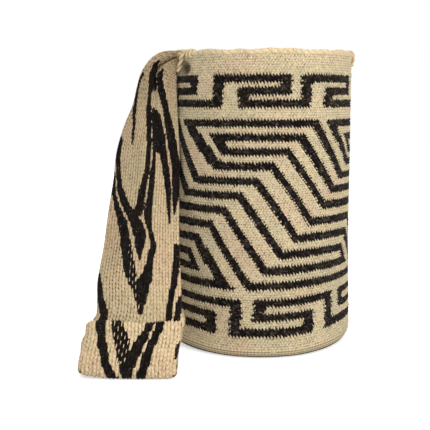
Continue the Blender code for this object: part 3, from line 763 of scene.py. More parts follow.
def bag_wall_lower(materials, tones, colors, shifts):
    """The base, its rounded edge, and the lower rows of the wall's outer face."""
    rings = Rings()
    angles = column_angles(COLUMN_ANGLE, FIRST_ROW)
    outward = outward_from_axis(angles)
    edge_top = FIRST_ROW * ROW
    flat_radius = bag_radius(0.0) - edge_top
    strides = [24] * 4 + [8] * 7 + [4] * 18
    # The base's rounds, with painted shade in the gaps between them
    base_rounds(rings, outward, flat_radius, 30, strides, (0.0, 0.0005), (0.0, 0.9))
    edge_steps = 10
    lift = side_lift(angles) * smooth_step(0.0, BASE_EDGE, edge_top)
    for step in range(edge_steps):
        bend = math.pi / 2 * step / edge_steps
        relief = np.array(MIDDLE_RELIEF if step % 2 else EDGE_RELIEF)[PART_AT] * min(step, 2) / 2
        # Painted shade in the gaps of the base's rounded edge
        crevice_shade = np.array(MIDDLE_CREVICE_SHADE if step % 2 else EDGE_CREVICE_SHADE)[PART_AT]
        reach = edge_top + relief * 0.6
        ring = outward * (flat_radius + reach * math.sin(bend))[:, None]
        ring[:, 2] = np.maximum(edge_top - reach * math.cos(bend), 0.0) + lift * math.sin(bend)
        rings.add(ring, crevice_shade)
        # Two bands of the rounded edge take the dark wool: a dark line round the bottom of the bag
        on_edge = step in (3, 4)
        rings.join(np.full(COLUMNS, int(on_edge)) if step else None)
    wall_rings(rings, FIRST_ROW, SPLIT_ROW, tones, colors, shifts)
    wall_skin(rings, COLUMN_ANGLE, SPLIT_ROW, FIRST_ROW)
    close_base(rings, outward * (flat_radius - 0.001), WALL * 0.45)
    return rings.build("bag_wall_lower", materials)


def bag_wall_upper(materials, tones, colors, shifts):
    """The upper rows of the wall's outer face, up to the rim."""
    rings = Rings()
    wall_rings(rings, SPLIT_ROW, TOP_ROW, tones, colors, shifts)
    wall_skin(rings, COLUMN_ANGLE, TOP_ROW, SPLIT_ROW)
    low, high = rings.starts[-1], rings.starts[0]
    new = [(low + i, low + (i + 1) % COLUMNS, high + (i + 1) % COLUMNS, high + i)
           for i in range(COLUMNS)]
    rings.keep(new, np.zeros(COLUMNS), np.zeros(COLUMNS))
    return rings.build("bag_wall_upper", materials)


def bag_inside(materials, tones, dark):
    """The side of the crochet that faces into the bag, closed by a smooth outer skin."""
    rings = Rings(inward=True)
    step_angle = 2 * COLUMN_ANGLE
    outward = outward_from_axis(column_angles(step_angle, FIRST_ROW))
    floor_radius = bag_radius(0.0) - FIRST_ROW * ROW
    strides = [12] * 4 + [4] * 5 + [2] * 14 + [1]
    base_rounds(rings, outward, floor_radius, 24, strides, (WALL + 0.0004, WALL), (0.1, 0.8))
    stitch, part = np.arange(len(outward)) // 2, np.arange(len(outward)) % 2
    rise = np.where(part == 1, INSIDE_RISE, -INSIDE_RISE)
    relief = np.where(part == 1, *INSIDE_RELIEF)
    # Painted shade in the gaps between the stitches inside
    crevice_shade = np.where(part == 1, *INSIDE_CREVICE_SHADE)
    for row in range(FIRST_ROW, TOP_ROW + 1):
        rows = row + rise * min(row - FIRST_ROW, TOP_ROW - row, 1)
        out = -WALL * 0.93 + relief + UNEVEN_RELIEF_INSIDE * random.normal(0.0, 1.0, len(outward))
        rings.add(wall_points(column_angles(step_angle, rows), rows * ROW, out), crevice_shade)
        if row == FIRST_ROW:
            rings.join()
        else:
            rings.join(dark[row - 1][stitch].astype(int), tones[row - 1][stitch])
    wall_skin(rings, step_angle, TOP_ROW, FIRST_ROW)
    close_base(rings, outward * (floor_radius - 0.001), WALL * 0.5)
    return rings.build("bag_inside", materials)


def band_faces(rings, around, closed=False):
    """Faces between rings of as many points, and over both ends unless the last meets the first."""
    faces = []
    for ring in range(rings if closed else rings - 1):
        low, high = ring * around, (ring + 1) % rings * around
        for index in range(around):
            nxt = (index + 1) % around
            faces.append((low + index, low + nxt, high + nxt, high + index))
    if not closed:
        faces.append(tuple(reversed(range(around))))
        faces.append(tuple(range((rings - 1) * around, rings * around)))
    return faces


def plied_tube(name, path, radius, pitch, materials, sides=14, closed=False, depth=0.42, dark=1.0):
    """A yarn of two twisted plies along a path; depth is that of the twist's hollows, dark the
    painted shade in them.
    """
    path = np.asarray(path)
    if closed:
        along = np.roll(path, -1, axis=0) - np.roll(path, 1, axis=0)
    else:
        along = np.vstack([path[1:], path[-1:]]) - np.vstack([path[:1], path[:-1]])
    along /= np.linalg.norm(along, axis=1)[:, None]
    distance = np.concatenate([[0.0], np.cumsum(np.linalg.norm(np.diff(path, axis=0), axis=1))])
    if closed:
        whole = distance[-1] + np.linalg.norm(path[0] - path[-1])
        pitch = whole / max(1, round(whole / pitch))
    normal = np.array([0.0, 0.0, 1.0]) if closed else np.cross(along[0], (0.31, 0.17, 0.93))
    turns = 2 * math.pi * np.arange(sides) / sides
    points = []
    crevice_shades = []
    for center, direction, place in zip(path, along, distance):
        normal = normal - direction * np.dot(normal, direction)
        normal /= np.linalg.norm(normal)
        binormal = np.cross(direction, normal)
        lobe = np.abs(np.cos(turns - 2 * math.pi * place / pitch / 2))
        reach = radius * (1 - depth + depth * lobe) * (1 + 0.03 * random.normal())
        points.append(center + reach[:, None] * (np.cos(turns)[:, None] * normal
                                                 + np.sin(turns)[:, None] * binormal))
        # Painted shade in the twist's hollows
        crevice_shades.append(dark * (1 - lobe) ** 1.5)
    values = {"crevice_shade": np.concatenate(crevice_shades)}
    faces = band_faces(len(path), sides, closed)
    return new_object(name, np.concatenate(points), faces, materials, values=values)


def rim_chain(materials):
    """The finishing chain round the mouth, which runs a little up and down."""
    count = 1100
    turn = np.arange(count) * 2 * math.pi / count
    wave = 0.00050 * np.sin(7 * turn + 0.8) + 0.0004 * np.sin(19 * turn + 2.0)
    lumps = np.convolve(random.normal(0.0, 1.0, count + 18), np.ones(19) / 19, "valid")
    wave += 0.0012 * lumps
    radius = RIM_RADIUS - WALL / 2 + 0.0003 * np.sin(23 * turn) - 0.0012 * np.roll(lumps, 40)
    path = np.stack([LEAN + radius * np.sin(turn), -radius * np.cos(turn),
                     BAG_HEIGHT - RIM_CORD / 2 + wave], axis=-1)
    # Weaker painted shade in the chain's hollows
    return plied_tube("rim_chain", path, RIM_CORD / 2 + 0.0006, 0.0080, materials, closed=True,
                      depth=0.13, dark=0.55)


def arc(center, radius, first, last, steps):
    """Points (y, z) on an arc seen from the right, angles in degrees counted from +Y to +Z."""
    turns = [math.radians(first + (last - first) * step / steps) for step in range(steps + 1)]
    return [(center[0] + radius * math.cos(t), center[1] + radius * math.sin(t)) for t in turns]


def cuff_layer(layer, height):
    """Depth of a layer of the cuff, counted back from the outer one."""
    return -CUFF_FRONT + HALF_STRAP + CUFF_LEAN * height / CUFF_HEIGHT + layer * LAYER_PITCH


def wall_place(angle, height, out=0.0):
    """One point on the even wall."""
    turn = math.radians(angle)
    radius = bag_radius(height) + out
    return Vector((LEAN * height / BAG_HEIGHT + radius * math.sin(turn),
                   -radius * math.cos(turn), height))


def beside_bag(out, forward, rise):
    """A point left of the bag: rise is 0 at the cuff's top and 1 at the rim."""
    height = CUFF_HEIGHT + rise * (BAG_HEIGHT - CUFF_HEIGHT)
    return Vector((LEFT_LIMB - out, -forward, height))


def cuff_path():
    """The strap inside and around the cuff, as (out, y, z), and where its outer layer begins."""
    turn = LAYER_PITCH / 2
    fold = STRAP_THICKNESS + LAYER_GAP + HALF_STRAP + turn
    crest = CUFF_HEIGHT - HALF_STRAP - turn
    corner = HALF_STRAP + LAYER_GAP
    back = cuff_layer(4.9, 0.0)
    back_turn = 0.006
    inner_out = STRAP_OFFSET + 0.003
    outer_out = STRAP_OFFSET + 0.0075
    path = [(inner_out - 0.002, cuff_layer(2.5, CUFF_HEIGHT), CUFF_HEIGHT * 0.84),
            (outer_out, cuff_layer(2.2, CUFF_HEIGHT / 2), CUFF_HEIGHT * 0.56),
            (outer_out, cuff_layer(2.0, fold), fold + 0.003)]
    path += [(outer_out, y, z) for y, z in arc((cuff_layer(1.5, fold), fold), turn, 0, -180, 4)]
    path += [(outer_out, cuff_layer(1, fold + 0.003), fold + 0.003),
             (inner_out, cuff_layer(1, crest - 0.003), crest - 0.003)]
    path += [(inner_out, y, z) for y, z in arc((cuff_layer(0.5, crest), crest), turn, 0, 180, 4)]
    crest_index = len(path) - 3
    path += [(inner_out, cuff_layer(0, crest), crest - 0.003),
             (outer_out, cuff_layer(0, 0), HALF_STRAP + corner + 0.004)]
    bottom = (cuff_layer(0, 0) + corner, HALF_STRAP + corner)
    path += [(outer_out, y, z) for y, z in arc(bottom, corner, 180, 270, 3)]
    floor_index = len(path) - 1
    path += [(outer_out, y, HALF_STRAP) for y in (bottom[0] + 0.003, back - 0.003)]
    path += [(outer_out, y, z)
             for y, z in arc((back, HALF_STRAP + back_turn), back_turn, -90, -10, 3)]
    path += [(inner_out, cuff_layer(5.5, CUFF_HEIGHT), CUFF_HEIGHT * 0.6),
             (inner_out - 0.002, cuff_layer(5.9, CUFF_HEIGHT), CUFF_HEIGHT * 0.86)]
    return path, crest_index, floor_index


def strap_stations():
    """Stations along the strap: left edge, right edge, curl, pleat; and the cuff's places."""
    seam = wall_place(LEFT_SEAM_ANGLE, BAG_HEIGHT, HALF_STRAP * 0.8 + 0.0006)
    upper = seam + Vector((0, 0, HALF_STRAP))
    stations = [(upper, upper - Vector((0, 0, LEFT_SEAM_HEIGHT)), 0.0, 0.0)]
    for left, right, curl, pleat in FRONT_HANG:
        stations.append((beside_bag(*left), beside_bag(*right), curl, pleat))
    path, crest_index, floor_index = cuff_path()
    crest_index += len(stations)
    floor_index += len(stations)
    for out, y, z in path:
        middle = LEFT_LIMB - out
        stations.append((Vector((middle - STRAP_WIDTH / 2, y, z)),
                         Vector((middle + STRAP_WIDTH / 2, y, z)), 0.0, 0.0))
    for left, right, curl in REAR_HANG:
        stations.append((beside_bag(*left), beside_bag(*right), curl, 0.0))
    turn = math.radians(CROSSING_ANGLE)
    half_across = Vector((math.cos(turn), math.sin(turn), 0)) * CROSSING_WIDTH / 2
    for out in (0.0005, -WALL - CROSSING_WIDTH ** 2 / (8 * RIM_RADIUS) - 0.0003):
        over = wall_place(CROSSING_ANGLE, BAG_HEIGHT, out)
        over.z = BAG_HEIGHT + HALF_STRAP + 0.0006
        stations.append((over + half_across, over - half_across, 0.0, 0.0))
    for share_x, share_y, drop, width, skew in MOUTH_SAG:
        center = Vector((LEAN + share_x * RIM_RADIUS, share_y * RIM_RADIUS, BAG_HEIGHT - drop))
        across = Vector((-math.sin(math.radians(skew)), -math.cos(math.radians(skew)), 0))
        stations.append((center + across * width / 2, center - across * width / 2, -0.001, 0.0))
    inset = -WALL - 0.0003 - HALF_STRAP
    curl = -(RIGHT_SEAM_WIDTH / 2) ** 2 / (2 * (RIM_RADIUS - WALL))
    for drop in (0.017, 0.006):
        center = wall_place(RIGHT_SEAM_ANGLE, BAG_HEIGHT - drop, inset)
        across = Vector((0, -RIGHT_SEAM_WIDTH / 2, 0))
        stations.append((center + across, center - across, curl, 0.0))
    return stations, crest_index, floor_index


def smooth_path(values, chords, per_span):
    """Fine samples of a smooth curve through all the values."""
    rates = np.diff(values, axis=0) / chords[:, None]
    before, after = chords[:-1, None], chords[1:, None]
    inner = (rates[:-1] * after + rates[1:] * before) / (before + after)
    tangents = np.vstack([rates[:1], inner, rates[-1:]])
    shares = np.arange(per_span) / per_span
    cube, square = shares ** 3, shares ** 2
    basis = np.stack([2 * cube - 3 * square + 1, cube - 2 * square + shares,
                      3 * square - 2 * cube, cube - square])
    fine = []
    for span, chord in enumerate(chords):
        parts = np.stack([values[span], tangents[span] * chord,
                          values[span + 1], tangents[span + 1] * chord])
        fine.append(basis.T @ parts)
    fine.append(values[-1:])
    return np.vstack(fine)


def stripe_depth(stripes, distance, across, half_width):
    """How deep inside a dark stripe each place across lies, in millimetres; negative outside."""
    depth = np.full(across.shape, -DEEPEST)
    for stripe in stripes:
        places, left, right = np.array(stripe).T
        end = min(distance - places[0], places[-1] - distance)
        low = np.interp(distance, places, left)
        high = np.interp(distance, places, right)
        inside = np.minimum(across - low, high - across) * half_width * 1000
        depth = np.maximum(depth, np.minimum(inside, end))
    return np.clip(depth, -DEEPEST, DEEPEST)


def chevron_depth(distance, across):
    """Depth inside the repeated lines that point down the strap, in millimetres."""
    phase = (distance + CHEVRON_RISE * np.abs(across)) % CHEVRON_PITCH
    depth = np.full(across.shape, -DEEPEST)
    for low, high in CHEVRON_LINES:
        depth = np.maximum(depth, np.minimum(phase - low, high - phase) * CHEVRON_DEPTH)
    return np.clip(depth, -DEEPEST, DEEPEST)


def soft_cuff(points, across):
    """Round the cuff's ends off: upper corners droop, lower ones lift and spread a little."""
    share = np.clip(points[..., 2] / CUFF_HEIGHT, 0.0, 1.0)
    ends = smooth_step(0.89, 1.0, np.abs(across))
    in_cuff = 1 - smooth_step(CUFF_HEIGHT - 0.001, CUFF_HEIGHT + 0.012, points[..., 2])
    left = smooth_step(-0.3, -1.0, across)
    droop = np.where(across < 0, *CORNER_DROOP)
    rise = (LEFT_RISE * left + END_RISE * ends) * (1 - share) - droop * ends * share ** 3
    rise = rise - TOP_DIP * np.exp(-((across - TOP_DIP_PLACE) / TOP_DIP_HALF) ** 2) * share ** 2
    points[..., 2] = np.maximum(points[..., 2] + rise * in_cuff, 0.0)
    points[..., 1] += END_SETBACK * ends * in_cuff
    points[..., 0] -= (LEFT_SPREAD * (1 - share) ** 2 - LEFT_PULL * share) * left * in_cuff
    return points


class StrapLay:
    """How the strap lies: its middle line at every half stitch, its directions and its places."""

    def __init__(self):
        stations, crest_index, floor_index = strap_stations()
        lefts = np.array([tuple(entry[0]) for entry in stations])
        rights = np.array([tuple(entry[1]) for entry in stations])
        extras = np.array([entry[2:] for entry in stations])
        chords = np.linalg.norm(np.diff((lefts + rights) / 2, axis=0), axis=1)
        tracks = smooth_path(np.hstack([lefts, rights, extras]), chords, SPAN_SAMPLES)
        steps = np.diff((tracks[:, :3] + tracks[:, 3:6]) / 2, axis=0)
        length = np.concatenate([[0.0], np.cumsum(np.linalg.norm(steps, axis=1))])
        self.hang_end, self.crest, self.cuff_floor = (
            length[index * SPAN_SAMPLES] for index in (len(FRONT_HANG), crest_index, floor_index))
        self.length = float(length[-1])
        self.count = 2 * int(round(length[-1] / STRAP_STITCH)) + 1
        self.places = np.linspace(0.0, length[-1], self.count)
        tracks = np.stack([np.interp(self.places, length, track) for track in tracks.T], axis=1)
        self.middle = (tracks[:, :3] + tracks[:, 3:6]) / 2
        self.toward_left = tracks[:, :3] - tracks[:, 3:6]
        self.width = np.linalg.norm(self.toward_left, axis=1)
        self.toward_left /= self.width[:, None]
        self.along = np.gradient(self.middle, axis=0)
        self.along /= np.linalg.norm(self.along, axis=1)[:, None]
        self.outward = np.cross(self.toward_left, self.along)
        self.outward /= np.linalg.norm(self.outward, axis=1)[:, None]
        self.curl, self.pleat = tracks[:, 6:7], tracks[:, 7:8]
        self.near_seam = np.exp(-(self.places / PLEAT_REACH) ** 2)[:, None]

    def pattern(self, index):
        """Stripes and dots at a step, and how far along them it lies; none where chevrons are."""
        place = self.places[index]
        if place < self.hang_end + STRIPES_BEYOND:
            return HANG_STRIPES, HANG_DOTS, place * 1000
        if self.crest - CREST_MARGIN < place < self.cuff_floor:
            return CUFF_STRIPES, CUFF_DOTS, (CUFF_HEIGHT - self.middle[index, 2]) * 1000
        return None


def strap_shades(lay, across, cord, is_gap, is_crown, deep):
    """How deep points lie in dark stripes, in millimetres, with pale dots and dark dashes."""
    middles = (cord + 0.5) / STRAP_COLUMNS * 2 - 1
    stepped = across + (middles - across) * STEP_BY_CORD
    shades = np.zeros(deep.shape)
    for index, place in enumerate(lay.places):
        found = lay.pattern(index)
        if found is None:
            shades[index] = chevron_depth(place, stepped)
            continue
        stripes, dots, at = found
        half_width = lay.width[index] / 2
        shade = stripe_depth(stripes, at, stepped, half_width) + STRIPE_SPREAD
        dotted = stripe_depth(dots, at, stepped, half_width)
        if dots is CUFF_DOTS:
            shade = np.maximum(shade, dotted)
        else:
            dashed = stripe_depth(HANG_DASHES, at, stepped, half_width)
            dash = is_gap & deep[index] & (random.random_sample(len(across)) < DASHED_SHARE)
            shade = np.maximum(shade, np.where(dash, dashed, -DEEPEST))
        is_dot = is_crown & ((cord + index // 2) % 2 == 0) & (dotted > 0)
        shades[index] = np.where(is_dot, -DEEPEST / 2, shade)
    return shades


def strap_face(lay, parts, side):
    """Points of one face from the left edge to the right, and their values for the material."""
    columns = STRAP_COLUMNS * parts + 1
    across = np.linspace(-1.0, 1.0, columns)[None, :]
    part = np.arange(columns) % parts
    cord = np.minimum(np.arange(columns) // parts, STRAP_COLUMNS - 1)
    gap = (part == 0)[None, :]
    phase = (cord % 2 == 0)[None, :]
    step = np.arange(lay.count)
    deep = (step % 2 == 1)[:, None] == phase
    crown = np.sin(math.pi * part / parts)[None, :]
    relief = np.where(gap, np.where(deep, *GAP_RELIEF), CROWN_RELIEF * crown)
    relief = relief - np.where(deep, STITCH_RELIEF, 0.0) * ~gap
    relief = relief + STRAP_UNEVEN * random.normal(0.0, 1.0, relief.shape)
    relief = relief * (1 + SEAM_RELIEF * lay.near_seam)
    # Painted shade in the gaps between cords and in deep stitches, stronger near the seam
    crevice_shade = np.where(gap, np.where(deep, *GAP_CREVICE_SHADES), np.where(deep, *STITCH_CREVICE_SHADES))
    crevice_shade = crevice_shade * random.uniform(*STRAP_CREVICE_SHADE_RANGE, relief.shape)
    crevice_shade = crevice_shade * (1 + SEAM_CREVICE_SHADE * lay.near_seam)
    from_pleat = across - np.interp(lay.places, PLEAT_PLACES, PLEAT_ACROSS)[:, None]
    pleat = np.exp(-(from_pleat / (PLEAT_HALF - PLEAT_NARROWER * lay.near_seam)) ** 2)
    bend = lay.curl * across ** 2 + (lay.pleat + PLEAT_DEEPER * lay.near_seam) * pleat
    roll = np.exp(-((from_pleat - ROLL_PLACE) / ROLL_HALF) ** 2)
    bend = bend - ROLL_HEIGHT * lay.near_seam * roll
    wave = np.sin(lay.places[:, None] * STRAP_WAVE_ALONG + STRAP_WAVE_ACROSS * across)
    bend = bend + STRAP_WAVE * wave
    # Painted shade in the pleat's crease beside the seam
    crevice_shade = np.maximum(crevice_shade, PLEAT_PAINTED_SHADE * lay.near_seam * pleat ** 3)
    sideways = (across * lay.width[:, None] / 2)[:, :, None]
    points = lay.middle[:, None, :] - lay.toward_left[:, None, :] * sideways
    points = points - lay.outward[:, None, :] * bend[:, :, None]
    ends = np.minimum(np.minimum(step, lay.count - 1 - step) / 2, 1)[:, None]
    slant = side * STITCH_SLANT * (crown - 0.5) + np.where(phase, CORD_SHIFT, -CORD_SHIFT)
    slant = slant * ends * (lay.places[1] - lay.places[0])
    points = points + lay.along[:, None, :] * slant[:, :, None]
    half = HALF_STRAP * (1 - EDGE_THINNER * np.abs(across) ** 12) + relief
    points = points + lay.outward[:, None, :] * (side * half)[:, :, None]
    points = soft_cuff(points, np.broadcast_to(across, relief.shape))
    # Painted shade: strong along the hanging half, more toward the left edge, less on the roll
    painted_shade = np.interp(lay.places, PAINTED_SHADE_PLACES, PAINTED_SHADE_SHARES)[:, None]
    painted_shade = painted_shade * (PAINTED_SHADE_MIDDLE - PAINTED_SHADE_SLOPE * across)
    painted_shade = painted_shade + PAINTED_SHADE_LEFT * smooth_step(0.1, -0.9, across)
    painted_shade = painted_shade * (1 - UNSHADED_ROLL * lay.near_seam ** 2 * smooth_step(-0.30, -0.55, across))
    shades = strap_shades(lay, across[0], cord, gap[0], part == parts // 2, deep)
    return points, {"crevice_shade": crevice_shade, "shade": shades, "painted_shade": np.clip(painted_shade, 0.0, 1.0)}


def woven_strap(materials):
    """The strap: lengthwise cords of slanted stitches, patterned by its stripes; and its length."""
    lay = StrapLay()
    outer, outer_values = strap_face(lay, 4, 1)
    inner, inner_values = strap_face(lay, 2, -1)
    points = np.concatenate([outer[:, ::-1], inner], axis=1)
    values = {}
    for label, inner_part in inner_values.items():
        both = [outer_values[label][:, ::-1], inner_part]
        values[label] = np.concatenate(both, axis=1).ravel()
    around = points.shape[1]
    faces = band_faces(lay.count, around)
    pairs = random.normal(0.0, 1.0, (lay.count - 1) * around // 2)
    tones = np.append(np.repeat(pairs, 2), [0.0, 0.0])
    made = new_object("woven_strap", points.reshape(-1, 3), faces, materials, None, values, tones)
    return made, lay.length


def feed(tree, socket, value):
    """Give an input a socket, a number, a vector or a colour."""
    if isinstance(value, bpy.types.NodeSocket):
        tree.links.new(value, socket)
    else:
        socket.default_value = (*value, 1.0) if socket.type == "RGBA" else value


def add_node(tree, kind, sources, **settings):
    """Make a shader node with these sources of its inputs."""
    node = tree.nodes.new(kind)
    for label, value in settings.items():
        setattr(node, label, value)
    for key, value in sources.items():
        feed(tree, node.inputs[key], value)
    return node


class Wool:
    """A matt wool material: drifting tints, a tone a stitch, painted shade in gaps, fibres and pale
    hairs.
    """

    def __init__(self, name):
        self.material = bpy.data.materials.new(name)
        self.material.use_nodes = True
        self.tree = self.material.node_tree
        self.place = add_node(self.tree, "ShaderNodeTexCoord", {}).outputs["Object"]
        self.shader = self.tree.nodes["Principled BSDF"]
        for label, value in (("Roughness", 0.92), ("Specular IOR Level", 0.10),
                             ("Sheen Weight", 0.04), ("Sheen Roughness", 0.50)):
            self.shader.inputs[label].default_value = value

    def noise(self, scale, detail, stretch=None):
        """Value of a noise texture; stretch squeezes it along three turned axes."""
        source = self.place
        if stretch:
            sources = {"Vector": source, "Scale": stretch, "Rotation": (0.3, 0.5, 0.9)}
            source = add_node(self.tree, "ShaderNodeMapping", sources).outputs["Vector"]
        sources = {"Vector": source, "Scale": scale, "Detail": detail}
        return add_node(self.tree, "ShaderNodeTexNoise", sources).outputs["Fac"]

    def attribute(self, name):
        """A number stored on the mesh."""
        return add_node(self.tree, "ShaderNodeAttribute", {}, attribute_name=name).outputs["Fac"]

    def math(self, operation, first, second):
        """Result of a sum on two sockets or numbers."""
        sources = {0: first, 1: second}
        return add_node(self.tree, "ShaderNodeMath", sources, operation=operation).outputs[0]

    def clamped(self, value):
        """The value, kept between 0 and 1."""
        return self.math("MINIMUM", self.math("MAXIMUM", value, 0.0), 1.0)

    def ramp(self, value, stops):
        """Colours along a value."""
        node = add_node(self.tree, "ShaderNodeValToRGB", {"Fac": value})
        elements = node.color_ramp.elements
        while len(elements) < len(stops):
            elements.new(0.5)
        for element, (position, color) in zip(elements, stops):
            element.position = position
            element.color = (*color, 1.0)
        return node.outputs["Color"]

    def mix(self, kind, amount, first, second):
        """Blend two colours; each may be a socket or a colour."""
        sources = {0: amount, 6: first, 7: second}
        settings = {"data_type": "RGBA", "blend_type": kind}
        return add_node(self.tree, "ShaderNodeMix", sources, **settings).outputs[2]

    def yarn(self, tints, light, spread, gap, crevice_shade_strength, hair):
        """Colour of one yarn: tints that drift, lighter stitches, and painted shade in the gaps
        between strands.
        """
        color = self.ramp(self.noise(24.0, 3.0), list(zip((0.36, 0.5, 0.64), tints)))
        tone = self.math("MULTIPLY", self.attribute("tone"), spread)
        blotch = self.math("SUBTRACT", self.noise(330.0, 2.0), 0.5)
        blotch = self.math("MULTIPLY", blotch, spread * 5)
        lighter = self.clamped(self.math("ADD", tone, blotch))
        color = self.mix("MIX", lighter, color, light)
        fibre = self.ramp(self.noise(1000.0, 3.0, (1.0, 3.0, 0.5)),
                          [(0.32, (0.70,) * 3), (0.5, (1.0,) * 3), (0.68, (1.16,) * 3)])
        color = self.mix("MULTIPLY", 0.8, color, fibre)
        # Painted shade in gaps, creases and hollows, as strong as the mesh says; gap is its tint
        depth = self.math("POWER", self.attribute("crevice_shade"), 1.4)
        color = self.mix("MIX", self.math("MULTIPLY", depth, crevice_shade_strength), color, gap)
        strands = self.ramp(self.noise(700.0, 2.0, (0.3, 1.6, 1.0)),
                            [(0.655, (0.0,) * 3), (0.70, (1.0,) * 3)])
        return self.mix("MIX", self.math("MULTIPLY", strands, 0.7), color, hair)

    def finish(self, color):
        """Connect the colour and a fine fibrous bump."""
        height = self.noise(1500.0, 4.0, (0.5, 1.5, 1.0))
        sources = {"Strength": 0.55, "Distance": 0.0003, "Height": height}
        bump = add_node(self.tree, "ShaderNodeBump", sources)
        feed(self.tree, self.shader.inputs["Base Color"], color)
        feed(self.tree, self.shader.inputs["Normal"], bump.outputs["Normal"])
        return self.material


def plain_wool(name, yarn):
    """A material of one yarn."""
    wool = Wool(name)
    return wool.finish(wool.yarn(*yarn))


def striped_wool(name):
    """The strap's two yarns, split where the mesh says how deep a point lies in a dark stripe; the
    pale yarn carries painted shade.
    """
    wool = Wool(name)
    wobble = wool.math("MULTIPLY", wool.math("SUBTRACT", wool.noise(420.0, 2.0), 0.5), 2.4)
    depth = wool.math("ADD", wool.attribute("shade"), wobble)
    share = wool.clamped(wool.math("MULTIPLY", depth, 3.5))
    # Painted shade darkens the pale yarn as far as the mesh says
    pale = wool.mix("MULTIPLY", wool.attribute("painted_shade"), wool.yarn(*STRAP_CREAM_YARN), PAINTED_SHADE_TINT)
    return wool.finish(wool.mix("MIX", share, pale, wool.yarn(*STRAP_DARK_YARN)))


def rim_stitch(angle, inner_cover, leg):
    """Path of a stitch that straddles the rim."""
    yarn_radius = 0.0009
    reach = yarn_radius + 0.0002
    outer = (RIM_CORD - WALL) / 2 + reach
    inner = -WALL - inner_cover - reach
    crown = BAG_HEIGHT + reach
    round_off = 0.0016
    profile = [(outer - 0.0008, BAG_HEIGHT - leg), (outer, BAG_HEIGHT - leg * 0.8),
               (outer, crown - round_off), (outer - round_off * 0.3, crown - round_off * 0.3),
               (outer - round_off, crown), (inner + round_off, crown),
               (inner + round_off * 0.3, crown - round_off * 0.3), (inner, crown - round_off),
               (inner, BAG_HEIGHT - leg * 0.8), (inner + 0.0008, BAG_HEIGHT - leg)]
    knots = []
    for out, height in profile:
        point = wall_place(angle, min(height, BAG_HEIGHT), out)
        point.z = height
        knots.append(tuple(point))
    knots = np.array(knots)
    chords = np.linalg.norm(np.diff(knots, axis=0), axis=1)
    return smooth_path(knots, chords, 6)


def make_camera():
    """The photograph's camera."""
    data = bpy.data.cameras.new("camera")
    data.sensor_width = 36.0
    data.lens = FOCAL_PIXELS / PICTURE_PIXELS * data.sensor_width
    made = bpy.data.objects.new("camera", data)
    made.location = CAMERA_PLACE
    made.rotation_euler = (math.radians(90.0 - CAMERA_DIP), 0.0, 0.0)
    bpy.context.scene.collection.objects.link(made)
    bpy.context.scene.camera = made


def seen_share(tree):
    """Socket that is 1 for what the camera sees, straight, mirrored or through glass."""
    rays = add_node(tree, "ShaderNodeLightPath", {}).outputs
    share = rays["Is Camera Ray"]
    for label in ("Is Glossy Ray", "Is Transmission Ray"):
        sources = {0: share, 1: rays[label]}
        share = add_node(tree, "ShaderNodeMath", sources, operation="MAXIMUM").outputs[0]
    return share


def white_world(color, strength):
    """Light all round that shows as plain white."""
    world = bpy.data.worlds.new("studio")
    world.use_nodes = True
    tree = world.node_tree
    light = tree.nodes["Background"]
    feed(tree, light.inputs["Color"], color)
    feed(tree, light.inputs["Strength"], strength)
    white = add_node(tree, "ShaderNodeBackground", {"Color": (1.0, 1.0, 1.0)})
    sources = {0: seen_share(tree), 1: light.outputs[0], 2: white.outputs[0]}
    mixer = add_node(tree, "ShaderNodeMixShader", sources)
    feed(tree, tree.nodes["World Output"].inputs["Surface"], mixer.outputs[0])
    bpy.context.scene.world = world


def white_floor():
    """A floor that keeps a soft shadow: what is seen of it is lifted to the backdrop's white."""
    made = bpy.data.materials.new("floor")
    made.use_nodes = True
    tree = made.node_tree
    base = tree.nodes["Principled BSDF"]
    feed(tree, base.inputs["Base Color"], (0.85, 0.85, 0.85))
    feed(tree, base.inputs["Roughness"], 0.9)
    feed(tree, base.inputs["Specular IOR Level"], 0.0)
    sources = {0: seen_share(tree), 1: FLOOR_LIFT}
    share = add_node(tree, "ShaderNodeMath", sources, operation="MULTIPLY")
    lift = add_node(tree, "ShaderNodeEmission", {"Strength": share.outputs[0]})
    both = add_node(tree, "ShaderNodeAddShader", {0: base.outputs[0], 1: lift.outputs[0]})
    feed(tree, tree.nodes["Material Output"].inputs["Surface"], both.outputs[0])
    bpy.ops.mesh.primitive_plane_add(size=9.0, location=(0, 0, -0.0004))
    floor = bpy.context.object
    floor.name = "floor"
    floor.data.materials.append(made)


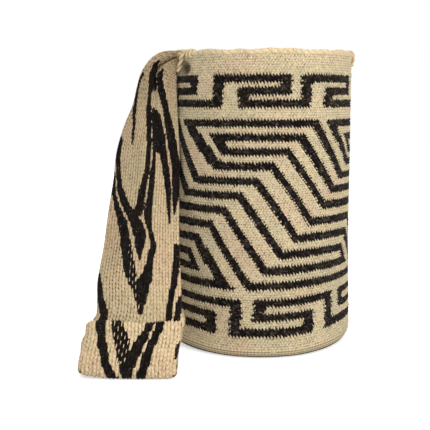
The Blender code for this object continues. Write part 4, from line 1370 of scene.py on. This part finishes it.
def make_stage():
    """A plain white floor and backdrop, and soft lamps."""
    scene = bpy.context.scene
    scene.view_settings.view_transform = "Standard"
    white_world(WORLD_COLOR, WORLD_LIGHT)
    white_floor()
    for name, place, size, power, color in LAMPS:
        data = bpy.data.lights.new(name, "AREA")
        data.size = size
        data.energy = power
        data.color = color
        lamp = bpy.data.objects.new(name, data)
        lamp.location = place
        aim = Vector(LAMP_AIM) - Vector(place)
        lamp.rotation_euler = aim.to_track_quat("-Z", "Y").to_euler()
        scene.collection.objects.link(lamp)


def lashing_path():
    """The cord that leans from the rim down to the strap's right edge."""
    path = []
    for step in range(LASHING_STEPS + 1):
        share = step / LASHING_STEPS
        angle = LASHING_TOP + (LASHING_BOTTOM - LASHING_TOP) * share
        height = BAG_HEIGHT + 0.0005 - (LASHING_DROP + 0.0005) * share
        path.append(tuple(wall_place(angle, height, LASHING_OUT)))
    return path


def main():
    """Dress the frame."""
    make_camera()
    make_stage()
    body_wools = [plain_wool("cream_wool", CREAM_YARN), plain_wool("dark_wool", DARK_YARN)]
    edging = [plain_wool("edging_wool", EDGING_YARN)]
    striped = [striped_wool("striped_wool")]
    tones = stitch_tones()
    pattern = dark_stitches()
    shifts = edge_shifts(pattern)
    colors = face_colors(pattern)
    body = [bag_wall_lower(body_wools, tones, colors, shifts),
            bag_wall_upper(body_wools, tones, colors, shifts),
            bag_inside(body_wools, tones, pattern)]
    rim = rim_chain(edging)
    strap, strap_length = woven_strap(striped)
    cord = plied_tube("left_lashing", lashing_path(), LASHING_RADIUS, LASHING_TWIST, edging)
    yarns = [("left", index + 1, rim_stitch(angle, 0.0, LEFT_YARN_LEG))
             for index, angle in enumerate(LEFT_YARNS)]
    for index in range(RIGHT_YARNS):
        angle = RIGHT_SEAM_ANGLE + RIGHT_YARN_STEP * (index - (RIGHT_YARNS - 1) / 2)
        path = rim_stitch(angle, STRAP_THICKNESS + 0.0003, RIGHT_YARN_LEG)
        yarns.append(("right", index + 1, path))
    dressed = [(rim, "rim_edging", "edging_wool"), (cord, "left_seam_cord", "edging_wool")]
    for side, number, path in yarns:
        name = f"{side}_yarn_{number}"
        piece = plied_tube(name, path, YARN_RADIUS, YARN_TWIST, edging, YARN_SIDES)
        dressed.append((piece, f"{side}_stitch_{number}", "edging_wool"))
    dressed += [(piece, "bag_body", "body_wool") for piece in body]
    dressed.append((strap, "strap", "strap_wool"))
    for piece, node, slot in dressed:
        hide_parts(node)
        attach(piece, "root")


main()
